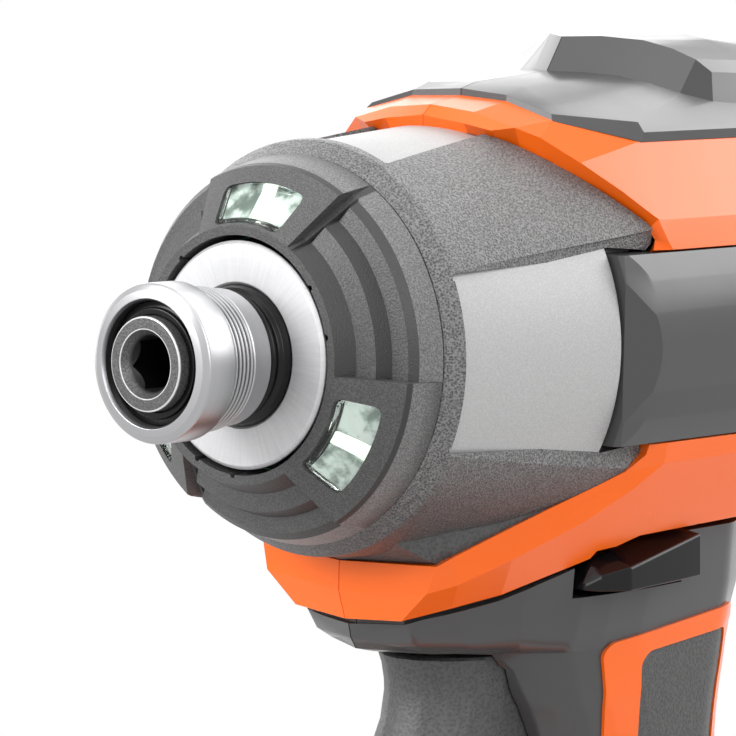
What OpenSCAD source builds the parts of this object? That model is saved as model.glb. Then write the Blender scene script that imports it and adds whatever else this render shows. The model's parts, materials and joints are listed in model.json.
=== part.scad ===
// Cordless impact driver: pistol grip, slide-on battery pack and quick-change hexagon chuck.
// The part stands on the battery's base. +X is forward, +Y is the tool's left, +Z is up, and the
// origin is in the middle of the battery's base.
// Modules are drawn in the spindle's frame: the chuck sleeve's front rim lies at x = 0, the spindle
// runs along X at y = z = 0, and everything behind the rim has a negative x.

/* [Overall] */
// Height of the spindle above the battery's base
spindle_h = 195; // [188:1:204]
// Distance from the sleeve's front rim back to the middle of the battery
battery_back = 91; // [89:0.5:93]
// Running clearance between a round piece and its bore
run_gap = 0.05; // [0.02:0.01:0.1]
// Gap between fixed pieces that sit against each other
seat_gap = 0.1; // [0.05:0.05:0.15]
// Gap round a piece that slides in a moulded opening
slide_gap = 0.4; // [0.3:0.05:0.5]

/* [Chuck] */
// Width across the flats of the bit socket
hex_af = 6.35; // [6.3:0.01:6.4]
// Depth of the bit socket
hex_depth = 24; // [22:0.5:26]
// Radius of the socket's countersunk mouth
mouth_r = 4.95; // [4.6:0.05:5.3]
// Radius of the anvil's nose
anvil_r = 6.25; // [6.1:0.05:6.4]
// How far the anvil stands out of the sleeve
anvil_proud = 1.3; // [1:0.1:1.6]
// Radius of the anvil inside its bushing
journal_r = 7.5; // [7.2:0.1:7.8]
// Outer radius of the sleeve's front ring
sleeve_r = 10.5; // [10.2:0.1:10.8]
// Length of the sleeve's smooth front ring
ring_len = 4.8; // [4.4:0.1:5.2]
// Outer radius of the sleeve's grooved grip
grip_r = 9.6; // [9.4:0.1:9.8]
// Radius of the smooth skirt behind the grooves
skirt_r = 9.1; // [8.9:0.1:9.2]
// Length of the sleeve
sleeve_len = 13.3; // [13:0.1:13.5]
// Number of grooves round the sleeve
groove_n = 6; // [4:1:7]
// Pitch of the grooves
groove_p = 0.72; // [0.6:0.02:0.74]
// Bore of the sleeve round its spring
sleeve_bore_r = 8.2; // [8:0.05:8.3]
// Travel of the sleeve when it is pulled forward
sleeve_travel = 3.6; // [3:0.1:4]
// Radius of a detent ball
ball_r = 1.6; // [1.5:0.05:1.7]
// Radius of the sleeve spring's wire
sleeve_wire_r = 0.4; // [0.35:0.05:0.45]

/* [Hammer case] */
// Radius of the case's turned nose face
nose_face_r = 15.2; // [15:0.1:15.4]
// Depth of the nose face behind the sleeve's rim
nose_face_x = 16.3; // [16:0.1:16.5]
// Radius of the case at the front of the windows
case_front_r = 27.4; // [27.2:0.1:27.6]
// Radius of the case at the back of the windows
case_rear_r = 29.9; // [29.7:0.1:30.1]
// Distance of the windows' front edge behind the rim
window_x = 30.2; // [30:0.1:30.6]
// Distance of the belly's front edge behind the rim
belly_x = 60.5; // [60:0.1:61]
// Wall of the case between the hammer's chamber and the windows
case_wall = 6.3; // [5.9:0.1:6.5]

/* [Nose cap] */
// Radius of the nose cap's front rim
cap_rim_r = 25.2; // [25:0.1:25.4]
// Radius of the nose cap at its seam
cap_seam_r = 26.3; // [26.1:0.1:26.5]
// Distance of the front rim behind the sleeve's rim
cap_rim_x = 23.8; // [23.5:0.1:24]
// Distance of the seam behind the sleeve's rim
cap_seam_x = 27.4; // [27.2:0.1:27.6]
// Half angle of a window block
block_half = 30; // [28:1:32]
// Half angle of a lamp window
lamp_half = 18; // [16:0.5:19]
// Inner radius of a lamp window
lamp_in_r = 17.7; // [17.5:0.1:18]
// Outer radius of a lamp window
lamp_out_r = 22.9; // [22.6:0.1:23]

/* [Impact gear] */
// Module of the gear teeth
gear_module = 0.8; // [0.8:0.01:0.81]
// Width of the planet gears
gear_w = 6; // [5:0.5:6]
// Radius of the cam shaft
cam_r = 9; // [8.6:0.1:9.2]
// Clearance round the hammer in its chamber
hammer_gap = 1.1; // [0.8:0.1:1.6]
// Travel of the hammer along the cam shaft
hammer_travel = 7; // [6:0.5:7.5]
// Radius of the hammer spring's wire
hammer_wire_r = 1.5; // [1.3:0.1:1.7]
// Clearance between the hammer spring and the hammer's hub
coil_gap = 0.5; // [0.3:0.1:0.9]
// Radius of a planet pin
pin_r = 2; // [1.8:0.1:2.2]

/* [Motor] */
// Outer radius of the stator
stator_r = 25.5; // [25:0.1:25.6]
// Length of the stator's stack
stack_len = 21; // [19:0.5:22]
// Radius of the rotor's stack
rotor_r = 12.2; // [11.8:0.1:12.4]
// Air gap between rotor and stator
air_gap = 0.5; // [0.4:0.05:0.6]
// Radius of the rotor shaft
shaft_r = 2.5; // [2.4:0.05:2.6]
// Outer radius of a ball bearing
bearing_r = 7; // [6.8:0.1:7.2]
// Width of a ball bearing
bearing_w = 5; // [4.6:0.1:5.2]
// Radius of the cooling fan
fan_r = 22; // [21:0.1:23]
// Number of fan blades
fan_blades = 13; // [9:1:15]

/* [Housing] */
// Radius of the grey belly at the motor's side
belly_r = 32; // [31.6:0.1:32.4]
// Half height of the belly band
belly_half = 13; // [12.5:0.1:13.5]
// Distance of the housing's back end behind the rim
rear_x = 133; // [131:0.5:136]
// Wall between the motor and the housing's side
motor_bore_r = 26; // [25.8:0.1:26.2]
// Thickness of the moulded grip skin
skin_t = 2; // [1.6:0.1:2.4]
// Half width of the grip at its middle
grip_half_w = 17; // [16:0.1:18]
// Half width of the foot
foot_half_w = 36; // [35:0.1:37]
// Gap between the foot and the pack's deck
deck_gap = 0.6; // [0.4:0.1:1]

/* [Controls] */
// Travel of the trigger
trigger_travel = 8; // [6:0.5:8]
// Half width of the trigger
trigger_half_w = 9.6; // [9:0.1:10]
// Travel of the selector to each side
selector_travel = 3; // [2:0.5:3]
// Half length of the selector across the tool
selector_half = 24.5; // [24:0.1:25.5]
// Travel of a push button
button_travel = 1.2; // [0.8:0.1:1.4]
// Travel of a battery latch
latch_travel = 3; // [2.5:0.1:3.4]

/* [Battery] */
// Length of the battery pack
pack_len = 112; // [108:1:116]
// Width of the battery pack
pack_w = 76; // [75:0.5:78]
// Height of the pack's deck above its base
deck_h = 50; // [49.6:0.1:50.2]
// Height of the split between the pack's shells
split_h = 27; // [24:0.5:30]
// Wall of the pack's shells
pack_wall = 2.2; // [2:0.1:2.6]
// Half width of the rail tower above the deck
tower_half_w = 26; // [25:0.1:26.5]
// Height of the rail tower above the deck
tower_h = 10; // [9:0.5:10.5]
// Room at each end of a cell inside the pack's walls
cell_end_gap = 3.2; // [2.8:0.1:3.8]
// Gap between neighbouring cells
cell_gap = 1; // [0.8:0.1:1.4]

/* [Fasteners] */
// Radius of a housing screw's shank
screw_r = 1.6; // [1.4:0.1:1.8]
// Radius of a housing screw's head
head_r = 3.1; // [2.8:0.1:3.4]
// Radius of the belt hook's threaded hole
hook_hole_r = 1.65; // [1.6:0.05:1.7]
// Width of the belt hook's strip
hook_w = 14; // [12:0.5:16]

/* [Hidden] */
$fn = 48;
eps = 0.01;
far = 200;

// Counts that fix the gear train: three planets mesh only where the teeth add up to a multiple of 3
planet_n = 3;
sun_teeth = 9;
planet_teeth = 18;
ring_teeth = sun_teeth + 2 * planet_teeth;
pitch_sun_r = gear_module * sun_teeth / 2;
pitch_planet_r = gear_module * planet_teeth / 2;
pitch_ring_r = gear_module * ring_teeth / 2;
planet_r = pitch_sun_r + pitch_planet_r;

// Places along the spindle, from the front to the back
socket_bottom_x = anvil_proud - hex_depth;
sleeve_face = 0.75;
lamp_board_x = -23.1;
sleeve_rear_x = -sleeve_len;
land_x = sleeve_rear_x + 3.5;
snap_x = -1;
cup_x = -1.9;
journal_x = -(nose_face_x + 0.6);
lug_front_x = -28.2;
lug_rear_x = -35.2;
hammer_front_x = lug_rear_x - 0.6;
hammer_rear_x = -50;
carrier_front_x = -57.6;
case_rear_x = -68.2;
planet_front_x = -60.6;
planet_rear_x = planet_front_x - gear_w;
carrier_rear_x = planet_rear_x - 1.5;
plate_rear_x = -74;
stack_front_x = -81;
stack_rear_x = stack_front_x - stack_len;
board_x = stack_rear_x - 4.2;
fan_x = -109;
fan_rear_x = fan_x - 8;
rear_bearing_x = -120;
shaft_rear_x = rear_bearing_x - bearing_w - 0.4;
end_wall_x = -(rear_x - 5);
ball_x = land_x - 2;
// The socket's corners are turned a little against the tool's upright
hex_turn = 10;
chamber_r = case_rear_r - case_wall;
hammer_r = chamber_r - hammer_gap;
lug_r = hammer_r - 3;
lug_w = 11;
pilot_r = 4;
carrier_r = 15;
register_r = case_rear_r - 2.3;
case_screw_r = 1.3;
cover_t = 1.1;
cover_rear_x = -70.2;

// Heights below the spindle
base_z = -spindle_h;
deck_z = base_z + deck_h;
foot_bottom_z = deck_z + deck_gap;
chin_z = -37.6;
neck_z = -43.7;
grip_rear_top = -112;
foot_top_z = foot_bottom_z + 16;

// Everything is drawn in the spindle's frame and then set on the battery's base
module placed() translate([battery_back, 0, spindle_h]) children();

// A solid of revolution about the spindle; points are [x, radius]
module turned(points) rotate([0, 90, 0]) rotate_extrude() polygon([for (p = points) [p[1], p[0]]]);
module rod(x0, x1, r) translate([min(x0, x1), 0, 0]) rotate([0, 90, 0]) cylinder(h = abs(x1 - x0), r = r);
module tube(x0, x1, outer, inner)
    turned([[x0, inner], [x0, outer], [x1, outer], [x1, inner]]);
module cross_rod(y0, y1, r) translate([0, min(y0, y1), 0]) rotate([-90, 0, 0]) cylinder(h = abs(y1 - y0), r = r);
// A side outline of [x, z] points carried across the tool
module side_slab(points, y0, y1)
    translate([0, y1, 0]) rotate([90, 0, 0]) linear_extrude(y1 - y0) polygon(points);
// A block from its lowest to its highest corner
module block(low, high) translate(low) cube(high - low);
module round_about(n, first = 0) for (i = [0:n - 1]) rotate([first + i * 360 / n, 0, 0]) children();
// Turns along X by a helix of wire; the wire's section has six sides
module coil(x0, x1, r, wire_r, turns, steps = 20) {
    n = turns * steps;
    sides = 6;
    start = min(x0, x1) + wire_r;
    end = max(x0, x1) - wire_r;
    // The last three quarters of a turn at each end lie flat, as on a ground spring
    flat = 0.75 / turns;
    function rise(t) = t < flat ? 0 : t > 1 - flat ? 1 : (t - flat) / (1 - 2 * flat);
    points = [for (i = [0:n]) let(a = 360 * i / steps, x = start + (end - start) * rise(i / n))
        for (k = [0:sides - 1]) let(b = 360 * k / sides, q = r + wire_r * cos(b))
            [x + wire_r * sin(b), q * cos(a), q * sin(a)]];
    skin = [for (i = [0:n - 1], k = [0:sides - 1]) let(j = (k + 1) % sides, p = i * sides, q = p + sides)
        each [[p + k, p + j, q + j], [p + k, q + j, q + k]]];
    caps = [[for (k = [sides - 1:-1:0]) k], [for (k = [0:sides - 1]) n * sides + k]];
    polyhedron(points, concat(skin, caps), convexity = 8);
}
// A gear's outline: straight-sided teeth, thinned for backlash; depth is below the pitch circle
function tooth_ring(teeth, pitch_r, add, ded, thin) = [for (i = [0:teeth - 1])
    let(p = 360 / teeth, h = 90 / teeth - thin / pitch_r * 28.65, c = i * p)
    each [for (s = [[pitch_r - ded, -1.42], [pitch_r, -1], [pitch_r + add, -0.42],
                    [pitch_r + add, 0.42], [pitch_r, 1], [pitch_r - ded, 1.42]])
        [s[0] * cos(c + s[1] * h), s[0] * sin(c + s[1] * h)]]];
module gear(teeth, pitch_r, add, ded, thin, x0, x1)
    translate([x0, 0, 0]) rotate([90, 0, 90]) linear_extrude(x1 - x0)
        polygon(tooth_ring(teeth, pitch_r, add, ded, thin));

module anvil() color("dimgray") placed() difference() {
    union() {
        turned([[journal_x, 0], [journal_x, anvil_r], [anvil_proud - 0.4, anvil_r],
            [anvil_proud, anvil_r - 0.4], [anvil_proud, 0]]);
        rod(lug_front_x, journal_x, journal_r);
        rod(lug_rear_x, lug_front_x, 10);
        intersection() {
            rod(lug_rear_x, lug_front_x, lug_r);
            block([lug_rear_x, -lug_w / 2, -lug_r], [lug_front_x, lug_w / 2, lug_r]);
        }
    }
    translate([socket_bottom_x, 0, 0]) rotate([hex_turn, 0, 0]) rotate([0, 90, 0])
        rotate([0, 0, 90]) cylinder(h = hex_depth + 1, r = hex_af / sqrt(3), $fn = 6);
    turned([[-1.2, 0], [anvil_proud, mouth_r], [anvil_proud + 1, mouth_r], [anvil_proud + 1, 0]]);
    turned([[socket_bottom_x - 1, 0], [socket_bottom_x, 3], [socket_bottom_x + eps, 0]]);
    tube(snap_x - 0.6, snap_x + 0.3, anvil_r + 1, anvil_r - 0.6);
    translate([ball_x, 0, 0]) cross_rod(-anvil_r - 1, anvil_r + 1, ball_r + run_gap);
    rod(lug_rear_x - 1, lug_rear_x + 9.4, pilot_r + run_gap);
}
module bit_balls() color("silver") placed() for (side = [-1, 1])
    translate([ball_x, side * (anvil_r - ball_r + 0.02), 0]) sphere(ball_r);
module snap_ring() color("darkslategray") placed() difference() {
    tube(snap_x - 0.55, snap_x + 0.25, anvil_r + 1, anvil_r - 0.55);
    block([snap_x - 1, -1.4, 0], [snap_x + 1, 1.4, far]);
}
module spring_cup() color("darkslategray") placed()
    tube(cup_x - 0.1, snap_x - 0.6, sleeve_bore_r - 0.2, anvil_r + run_gap);
module sleeve_spring() color("lightsteelblue") placed()
    coil(land_x + 0.1, cup_x - 0.2, anvil_r + 1, sleeve_wire_r, 5);
module bumper_ring() color("black") placed()
    turned([for (a = [0:30:330]) [journal_x + 1.9 + 1.25 * cos(a), anvil_r + 1.45 + 1.35 * sin(a)]]);
module chuck_sleeve() color("silver") placed() difference() {
    grooves = [for (i = [0:groove_n - 1]) let(x = -ring_len - 0.3 - i * groove_p)
        each [[x, grip_r], [x - groove_p * 0.35, grip_r], [x - groove_p * 0.65, grip_r - 0.4]]];
    groove_end = -ring_len - 0.3 - groove_n * groove_p;
    turned(concat(
        [[sleeve_face, sleeve_bore_r + 0.3], [sleeve_face - 0.25, sleeve_r - 0.9], [0, sleeve_r],
         [-ring_len, sleeve_r], [-ring_len - 0.2, grip_r]],
        grooves,
        [[groove_end, grip_r], [groove_end - 0.4, skirt_r], [sleeve_rear_x + 0.3, skirt_r],
         [sleeve_rear_x, skirt_r - 0.3], [sleeve_rear_x, anvil_r + run_gap],
         [land_x, anvil_r + run_gap], [land_x, sleeve_bore_r], [sleeve_face - 0.3, sleeve_bore_r]]));
}
module anvil_bushing() color("darkgoldenrod") placed()
    tube(lug_front_x + 0.3, -(nose_face_x + 0.9), 9.6, journal_r + run_gap);

// The hammer case's outer profile and its chambers, both as [x, radius]
function case_outer() = [[-nose_face_x, nose_face_r - 0.6], [-nose_face_x - 0.6, nose_face_r],
    [lamp_board_x - 1.5, nose_face_r], [lamp_board_x - 2.1, 20.5], [lamp_board_x - 3.3, 22.6],
    [-cap_seam_x - 0.4, cap_seam_r - 1.6], [-window_x, case_front_r], [-belly_x + 0.3, case_rear_r],
    [-belly_x + 0.3, register_r], [case_rear_x, register_r]];
module hammer_case() color("gainsboro") placed() difference() {
    turned(concat([[-nose_face_x, 9.65]], case_outer(), [[case_rear_x, chamber_r], [-31.4, chamber_r],
        [lug_front_x + 0.1, lug_r + 1], [lug_front_x + 0.1, 9.65]]));
    case_screw_places() rod(case_rear_x - 1, case_rear_x + 7.4, case_screw_r + run_gap);
}
module case_screw_places() round_about(4, 45) translate([0, 0, (register_r + chamber_r) / 2]) children();

// The boundary between the case cover and the housing, seen from the side, as [x, z]
cover_edge = [[-52.8, 29.2], [-55.4, 27.8], [-69.4, 16.7], [-70, 15.4], [-69.4, 13.9], [-68.2, belly_half + 0.1],
    [-belly_x, belly_half + 0.1], [-belly_x, -belly_half - 0.1], [-68.4, -belly_half - 0.1], [-69, -14.9],
    [-66, -17.2], [-62.5, -18.6], [-56, -21.6], [-50, -25], [-46.7, -28.5], [-37, -29.6]];
module cover_zone(grow = 0)
    side_slab(concat([[0, -29.6], [0, far], [-52.8 - grow, far]],
        [for (p = cover_edge) [p[0] - grow, p[1]]]), -far, far);
module cover_solid(gap = 0) turned([[-cap_seam_x, 0], [-cap_seam_x, cap_seam_r + gap],
    [-window_x, case_front_r + 0.8 + gap], [-belly_x, case_rear_r + cover_t + gap],
    [cover_rear_x - gap, case_rear_r + cover_t + 0.6 + gap], [cover_rear_x - gap, 0]]);
module case_cover() color("gray") placed() difference() {
    intersection() {
        cover_solid();
        union() {
            cover_zone();
            block([-60, -far, -far], [0, far, -14]);
        }
    }
    turned(concat([[0, 0]], [[-cap_seam_x + eps, cap_seam_r - 1.6]],
        [[-cap_seam_x - 0.4, cap_seam_r - 1.5 + seat_gap], [-window_x, case_front_r + seat_gap],
         [-belly_x, case_rear_r + seat_gap], [cover_rear_x - 1, case_rear_r + seat_gap], [cover_rear_x - 1, 0]]));
    // Side windows and the top window
    side_slab([[-window_x, -11.8], [-window_x, 12], [-belly_x - eps, belly_half], [-belly_x - eps, -belly_half]],
        -far, far);
    linear_extrude(far) polygon([[-31.6, -12], [-31.6, 12], [-53.4, 10], [-60, 10], [-60, -10], [-53.4, -10]]);
}

// The nose cap between its window blocks: a flight of rounded steps, as [x, radius]
step_profile = [[-16.2, 15.9], [-16.2, 17.2], [-18.6, 18.8], [-20, 21.1], [-21.8, 22.1], [-22.8, 24.2],
    [-cap_rim_x, cap_rim_r], [-cap_seam_x + seat_gap, cap_seam_r]];
block_profile = [[-16.2, 15.9], [-16.2, 17.2], [-21.8, 25], [-22.6, cap_rim_r], [-cap_seam_x + seat_gap, cap_seam_r]];
cap_inside = [[-cap_seam_x + seat_gap, cap_seam_r - 1.4], [lamp_board_x - 1.8, 22.3], [lamp_board_x - 1.3, 21.4],
    [lamp_board_x + 0.1, 21.4], [lamp_board_x + 0.1, 15.9]];
block_angles = [90, -30, 210];
// A sector about the spindle between two angles that run from +Y towards +Z
module sector(mid, half, x0, x1, r) translate([min(x0, x1), 0, 0]) rotate([90, 0, 90])
    linear_extrude(abs(x1 - x0)) polygon(concat([[0, 0]],
        [for (a = [-half, -half / 2, 0, half / 2, half]) 1.2 * r * [cos(mid + a), sin(mid + a)]]));
module lamp_solid(gap = 0) intersection() {
    for (a = block_angles) sector(a, lamp_half + gap * 2.5, -26, -14, cap_rim_r);
    turned([[-15, lamp_in_r - gap], [-24, lamp_in_r - gap], [-24, lamp_out_r + gap], [-15, lamp_out_r + gap]]);
}
module nose_cap() color("dimgray") placed() difference() {
    union() {
        turned(concat(step_profile, cap_inside));
        intersection() {
            turned(concat(block_profile, cap_inside));
            for (a = block_angles) sector(a, block_half - 2, -30, -10, cap_seam_r);
        }
    }
    lamp_solid(0.1);
}
module led_lenses() color("honeydew") placed() intersection() {
    lamp_solid();
    turned([[-16.5, 0], [-16.5, 17.2], [-20.6, 23.2], [lamp_board_x + 1.2, 24], [lamp_board_x + 1.2, 0]]);
}
module lamp_board() color("seagreen") placed() union() {
    tube(lamp_board_x - 1.2, lamp_board_x, 21.2, 15.6);
    for (a = block_angles, s = [-7, 7]) rotate([a + s, 0, 0]) translate([lamp_board_x, 19.7, 0])
        block([-0.2, -1.4, -1.4], [1.1, 1.4, 1.4]);
}

// Impact mechanism
hub_r = cam_r + 3.2;
hammer_coil_r = hub_r + coil_gap + hammer_wire_r;
skirt_in_r = hammer_coil_r + hammer_wire_r + 2.9;
pocket_x = -43;
cam_ball_r = 2.4;
cam_ball_x = -44.4;
backlash = 0.1;
tooth_add = 0.62 * gear_module;
tooth_ded = 0.95 * gear_module;
module cam_ball_places() for (side = [0, 180]) rotate([side, 0, 0]) translate([cam_ball_x, cam_r, 0]) children();
module planet_places() for (i = [0:planet_n - 1]) rotate([i * 360 / planet_n, 0, 0])
    translate([0, planet_r, 0]) children();
module hammer() color("slategray") placed() difference() {
    union() {
        turned([[hammer_front_x, cam_r + run_gap], [hammer_front_x, hammer_r - 0.6], [hammer_front_x - 0.6, hammer_r],
            [hammer_rear_x, hammer_r], [hammer_rear_x, skirt_in_r], [pocket_x, skirt_in_r], [pocket_x, hub_r],
            [hammer_rear_x, hub_r], [hammer_rear_x, cam_r + run_gap]]);
        intersection() {
            tube(hammer_front_x - 1, lug_rear_x + 4.2, hammer_r - 0.3, 11.6);
            for (a = [0, 180]) sector(a, 24, hammer_front_x - 1, lug_rear_x + 4.2, hammer_r);
        }
    }
    cam_ball_places() {
        sphere(cam_ball_r + run_gap);
        rod(0, hammer_front_x - cam_ball_x + 1, cam_ball_r + run_gap);
    }
}
module cam_balls() color("silver") placed() cam_ball_places() sphere(cam_ball_r);
module hammer_spring() color("lightsteelblue") placed()
    coil(carrier_front_x + 0.05, pocket_x - 0.05, hammer_coil_r, hammer_wire_r, 3.5, 24);
module cam_shaft() color("darkgray") placed() difference() {
    union() {
        rod(hammer_front_x + 0.3, lug_rear_x + 9, pilot_r);
        rod(carrier_front_x, hammer_front_x + 0.3, cam_r);
        rod(carrier_rear_x, carrier_front_x, carrier_r);
    }
    rod(carrier_rear_x - 1, carrier_front_x - 1.9, pitch_sun_r + gear_module * 2);
    planet_places() {
        rod(planet_rear_x - 0.2, planet_front_x + 0.2, pitch_planet_r + tooth_add + 0.4);
        rod(carrier_rear_x - 1, carrier_front_x - 0.8, pin_r + 0.02);
    }
    cam_ball_places() sphere(cam_ball_r + run_gap);
}
module planet_pins() color("silver") placed() planet_places() rod(carrier_rear_x + 0.1, carrier_front_x - 0.9, pin_r);
module planet_gear_a() planet_gear(0);
module planet_gear_b() planet_gear(1);
module planet_gear_c() planet_gear(2);
module planet_gear(i) color("lightslategray") placed() rotate([i * 360 / planet_n, 0, 0])
    translate([0, planet_r, 0]) difference() {
        rotate([180 / planet_teeth, 0, 0])
            gear(planet_teeth, pitch_planet_r, tooth_add, tooth_ded, backlash, planet_rear_x, planet_front_x);
        rod(planet_rear_x - 1, planet_front_x + 1, pin_r + run_gap);
    }
module ring_gear() color("lightslategray") placed() difference() {
    rod(planet_rear_x - 0.3, planet_front_x + 0.2, chamber_r - run_gap);
    rotate([180 / ring_teeth, 0, 0])
        gear(ring_teeth, pitch_ring_r, tooth_ded, tooth_add, -backlash, planet_rear_x - 1, planet_front_x + 1);
}
module gear_back_plate() color("dimgray") placed() difference() {
    turned([[case_rear_x - 0.1, pitch_sun_r + 1.6], [case_rear_x - 0.1, register_r - 0.1],
        [case_rear_x - 3.8, register_r - 0.1], [case_rear_x - 3.8, bearing_r + 3.5], [plate_rear_x - 0.4, bearing_r + 3.5],
        [plate_rear_x - 0.4, bearing_r + run_gap], [plate_rear_x + bearing_w + 0.1, bearing_r + run_gap],
        [plate_rear_x + bearing_w + 0.1, pitch_sun_r + 1.6]]);
    case_screw_places() {
        rod(case_rear_x - 5, case_rear_x + 1, case_screw_r + run_gap);
        rod(case_rear_x - 5, case_rear_x - 2.2, 1.9);
    }
}
module case_screws() color("silver") placed() case_screw_places() difference() {
    union() {
        rod(case_rear_x - 2.2, case_rear_x + 7, case_screw_r);
        rod(case_rear_x - 3.7, case_rear_x - 2.2, 1.8);
    }
    rod(case_rear_x - 4, case_rear_x - 2.9, 1);
}

// Motor
module ball_bearing(x) difference() {
    tube(x, x + bearing_w, bearing_r, shaft_r + run_gap);
    for (face = [x - 1, x + bearing_w - 0.3]) tube(face, face + 1.3, bearing_r - 1.2, shaft_r + 1.2);
}
module front_bearing() color("silver") placed() ball_bearing(plate_rear_x);
module rear_bearing() color("silver") placed() ball_bearing(rear_bearing_x - bearing_w);
module rotor_shaft() color("silver") placed() union() {
    rod(shaft_rear_x, plate_rear_x + bearing_w + 0.4, shaft_r);
    gear(sun_teeth, pitch_sun_r, tooth_add, tooth_ded, backlash, plate_rear_x + bearing_w + 0.4, planet_front_x - 0.1);
}
module rotor_core() color("dimgray") placed() difference() {
    tube(stack_rear_x, stack_front_x, rotor_r, shaft_r + 0.01);
    // Slots that hold the magnets
    for (a = [0:90:270]) rotate([a, 0, 0])
        block([stack_rear_x - 1, rotor_r - 4, -5], [stack_front_x + 1, rotor_r - 2.4, 5]);
}
module cooling_fan() color("dimgray") placed() difference() {
    union() {
        rod(fan_rear_x, fan_x - 1, 6);
        rod(fan_rear_x, fan_rear_x + 1.2, fan_r);
        round_about(fan_blades) translate([0, 0, 1.5]) rotate([12, 0, 0])
            block([fan_rear_x + 0.5, -0.5, 4], [fan_x, 0.5, fan_r - 2.5]);
    }
    rod(fan_rear_x - 1, fan_x + 1, shaft_r + 0.01);
}
yoke_in_r = 21.2;
tooth_half_w = 3.4;
module stator_core() color("slategray") placed() translate([stack_rear_x, 0, 0]) rotate([90, 0, 90])
    linear_extrude(stack_len) union() {
        difference() {
            circle(stator_r);
            circle(yoke_in_r);
        }
        for (a = [0:60:300]) rotate(a) difference() {
            union() {
                translate([14.2, -tooth_half_w]) square([yoke_in_r - 13.7, 2 * tooth_half_w]);
                intersection() {
                    circle(14.5);
                    polygon([[0, 0], [20, -8.2], [20, 8.2]]);
                }
            }
            circle(rotor_r + air_gap);
        }
    }
coil_over = 3.4;
module stator_windings() color("peru") placed() round_about(6) difference() {
    block([stack_rear_x - coil_over, 14.9, -6.9], [stack_front_x + coil_over, 19.9, 6.9]);
    block([stack_rear_x - 0.6, 14, -tooth_half_w - 0.3], [stack_front_x + 0.6, 21, tooth_half_w + 0.3]);
}
module stator_insulators() color("ivory") placed() union() {
    tube(stack_front_x, stack_front_x + 2, stator_r - 0.6, yoke_in_r);
    tube(stack_rear_x - 2, stack_rear_x, stator_r - 0.6, yoke_in_r);
    round_about(3, 30) translate([0, 0, 23]) rod(board_x, stack_rear_x - 1, 1.4);
}
module sensor_board() color("seagreen") placed() tube(board_x - 1.2, board_x, stator_r - 1, 14);
// A wire through a list of points
module wire(points, r) for (i = [0:len(points) - 2]) let(v = points[i + 1] - points[i], h = norm(v)) {
    translate(points[i]) rotate([0, acos(v[2] / h), atan2(v[1], v[0])]) cylinder(h = h, r = r, $fn = 16);
    translate(points[i]) sphere(r + 0.02, $fn = 16);
}
module motor_leads() color("firebrick") placed() for (y = [-4, 0, 4])
    wire([[-105.1, y, -22.4], [-105.1, y, -41], [-103, y, -47], [-103, y, foot_bottom_z + 18]], 0.9);

// Housing: cross sections of the head as [x, shoulder y, shoulder z, cap edge y, cap edge z, top z, side y]
head_sections = [[-52.8, 27, 17.5, 13.5, 29, 31, 28.9], [-55, 27.8, 17.6, 14.4, 29.7, 32.3, 28.9],
    [-60.5, 28, 17.6, 16.8, 30.7, 33.2, 28.9], [-72, 28.2, 17.4, 22.8, 27.8, 34, 28.9],
    [-100, 28.2, 17.4, 22.8, 27.8, 34, 28.9], [-rear_x + 15, 27.2, 17, 21.8, 27, 33, 28.4],
    [-rear_x + 4, 24.5, 15.5, 19, 24.5, 30, 25.6], [-rear_x, 21.5, 13.5, 16.5, 21.5, 26, 22.6]];
// The grey cap on top as [x, edge y, low z, edge top z, top z]
cap_sections = [[-60.5, 16.8, 30.7, 31.9, 34.3], [-72, 22.8, 27.8, 30.3, 35.8], [-80, 23, 27.8, 29.3, 36.4],
    [-100, 23, 27.8, 29.2, 36.3], [-rear_x + 13, 22, 27, 28.5, 35], [-rear_x + 2, 18, 23, 24.5, 30]];
boss_top_z = 41.5;
// The grip as [z, front x, rear x, half width]
grip_sections = [[-28, -62, -114, 21], [-36, -64, -112, 20], [-45, -66, -112, grip_half_w + 2],
    [-55, -69, -109, grip_half_w + 1], [-70, -71.5, -109.5, grip_half_w - 0.5], [-90, -73, -113, grip_half_w],
    [-105, -75, -114, grip_half_w - 0.5], [foot_bottom_z + 26, -74, -118, grip_half_w + 1],
    [foot_bottom_z + 22, -72, -122, grip_half_w + 3]];
foot_sections = [[foot_bottom_z + 22, -66, -128, grip_half_w + 6], [foot_bottom_z + 20, -54, -136, foot_half_w - 6],
    [foot_bottom_z + 10.4, -44, -142, foot_half_w], [foot_bottom_z, -42, -142, foot_half_w]];
// The chin in front of the trigger: half outlines seen from above, as [z, [[x, y] ...]]
chin_sections = [[-17, [[-44, 12], [-50, 19.4], [-56, 23.8], [-62.5, 27], [-72, 28.5]]],
    [-29, [[-37.8, 0], [-41.5, 12.3], [-48, 17], [-56, 21.5], [-64, 23.5], [-74, 24]]],
    [-33.3, [[-37.2, 0], [-40.8, 12], [-47, 16], [-56, 19.5], [-64, 21.5], [-74, 22]]],
    [chin_z, [[-39, 0], [-42, 10], [-46.5, 13], [-54, 16], [-62, 18], [-74, 20]]]];
neck_sections = [[-28, [[-41, 0], [-44, 11.5], [-50, 16], [-57, 19.5], [-66, 21], [-76, 21]]],
    [chin_z, [[-39.6, 0], [-43, 9.5], [-48, 13.5], [-56, 16], [-66, 18], [-78, 19]]],
    [neck_z, [[-41.3, 0], [-45, 9], [-50, 12.5], [-58, 15], [-66, 17.5], [-78, 18.5]]]];

function both_sides(half) = concat(half, [for (i = [len(half) - 1:-1:0]) [half[i][0], -half[i][1]]]);
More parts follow.
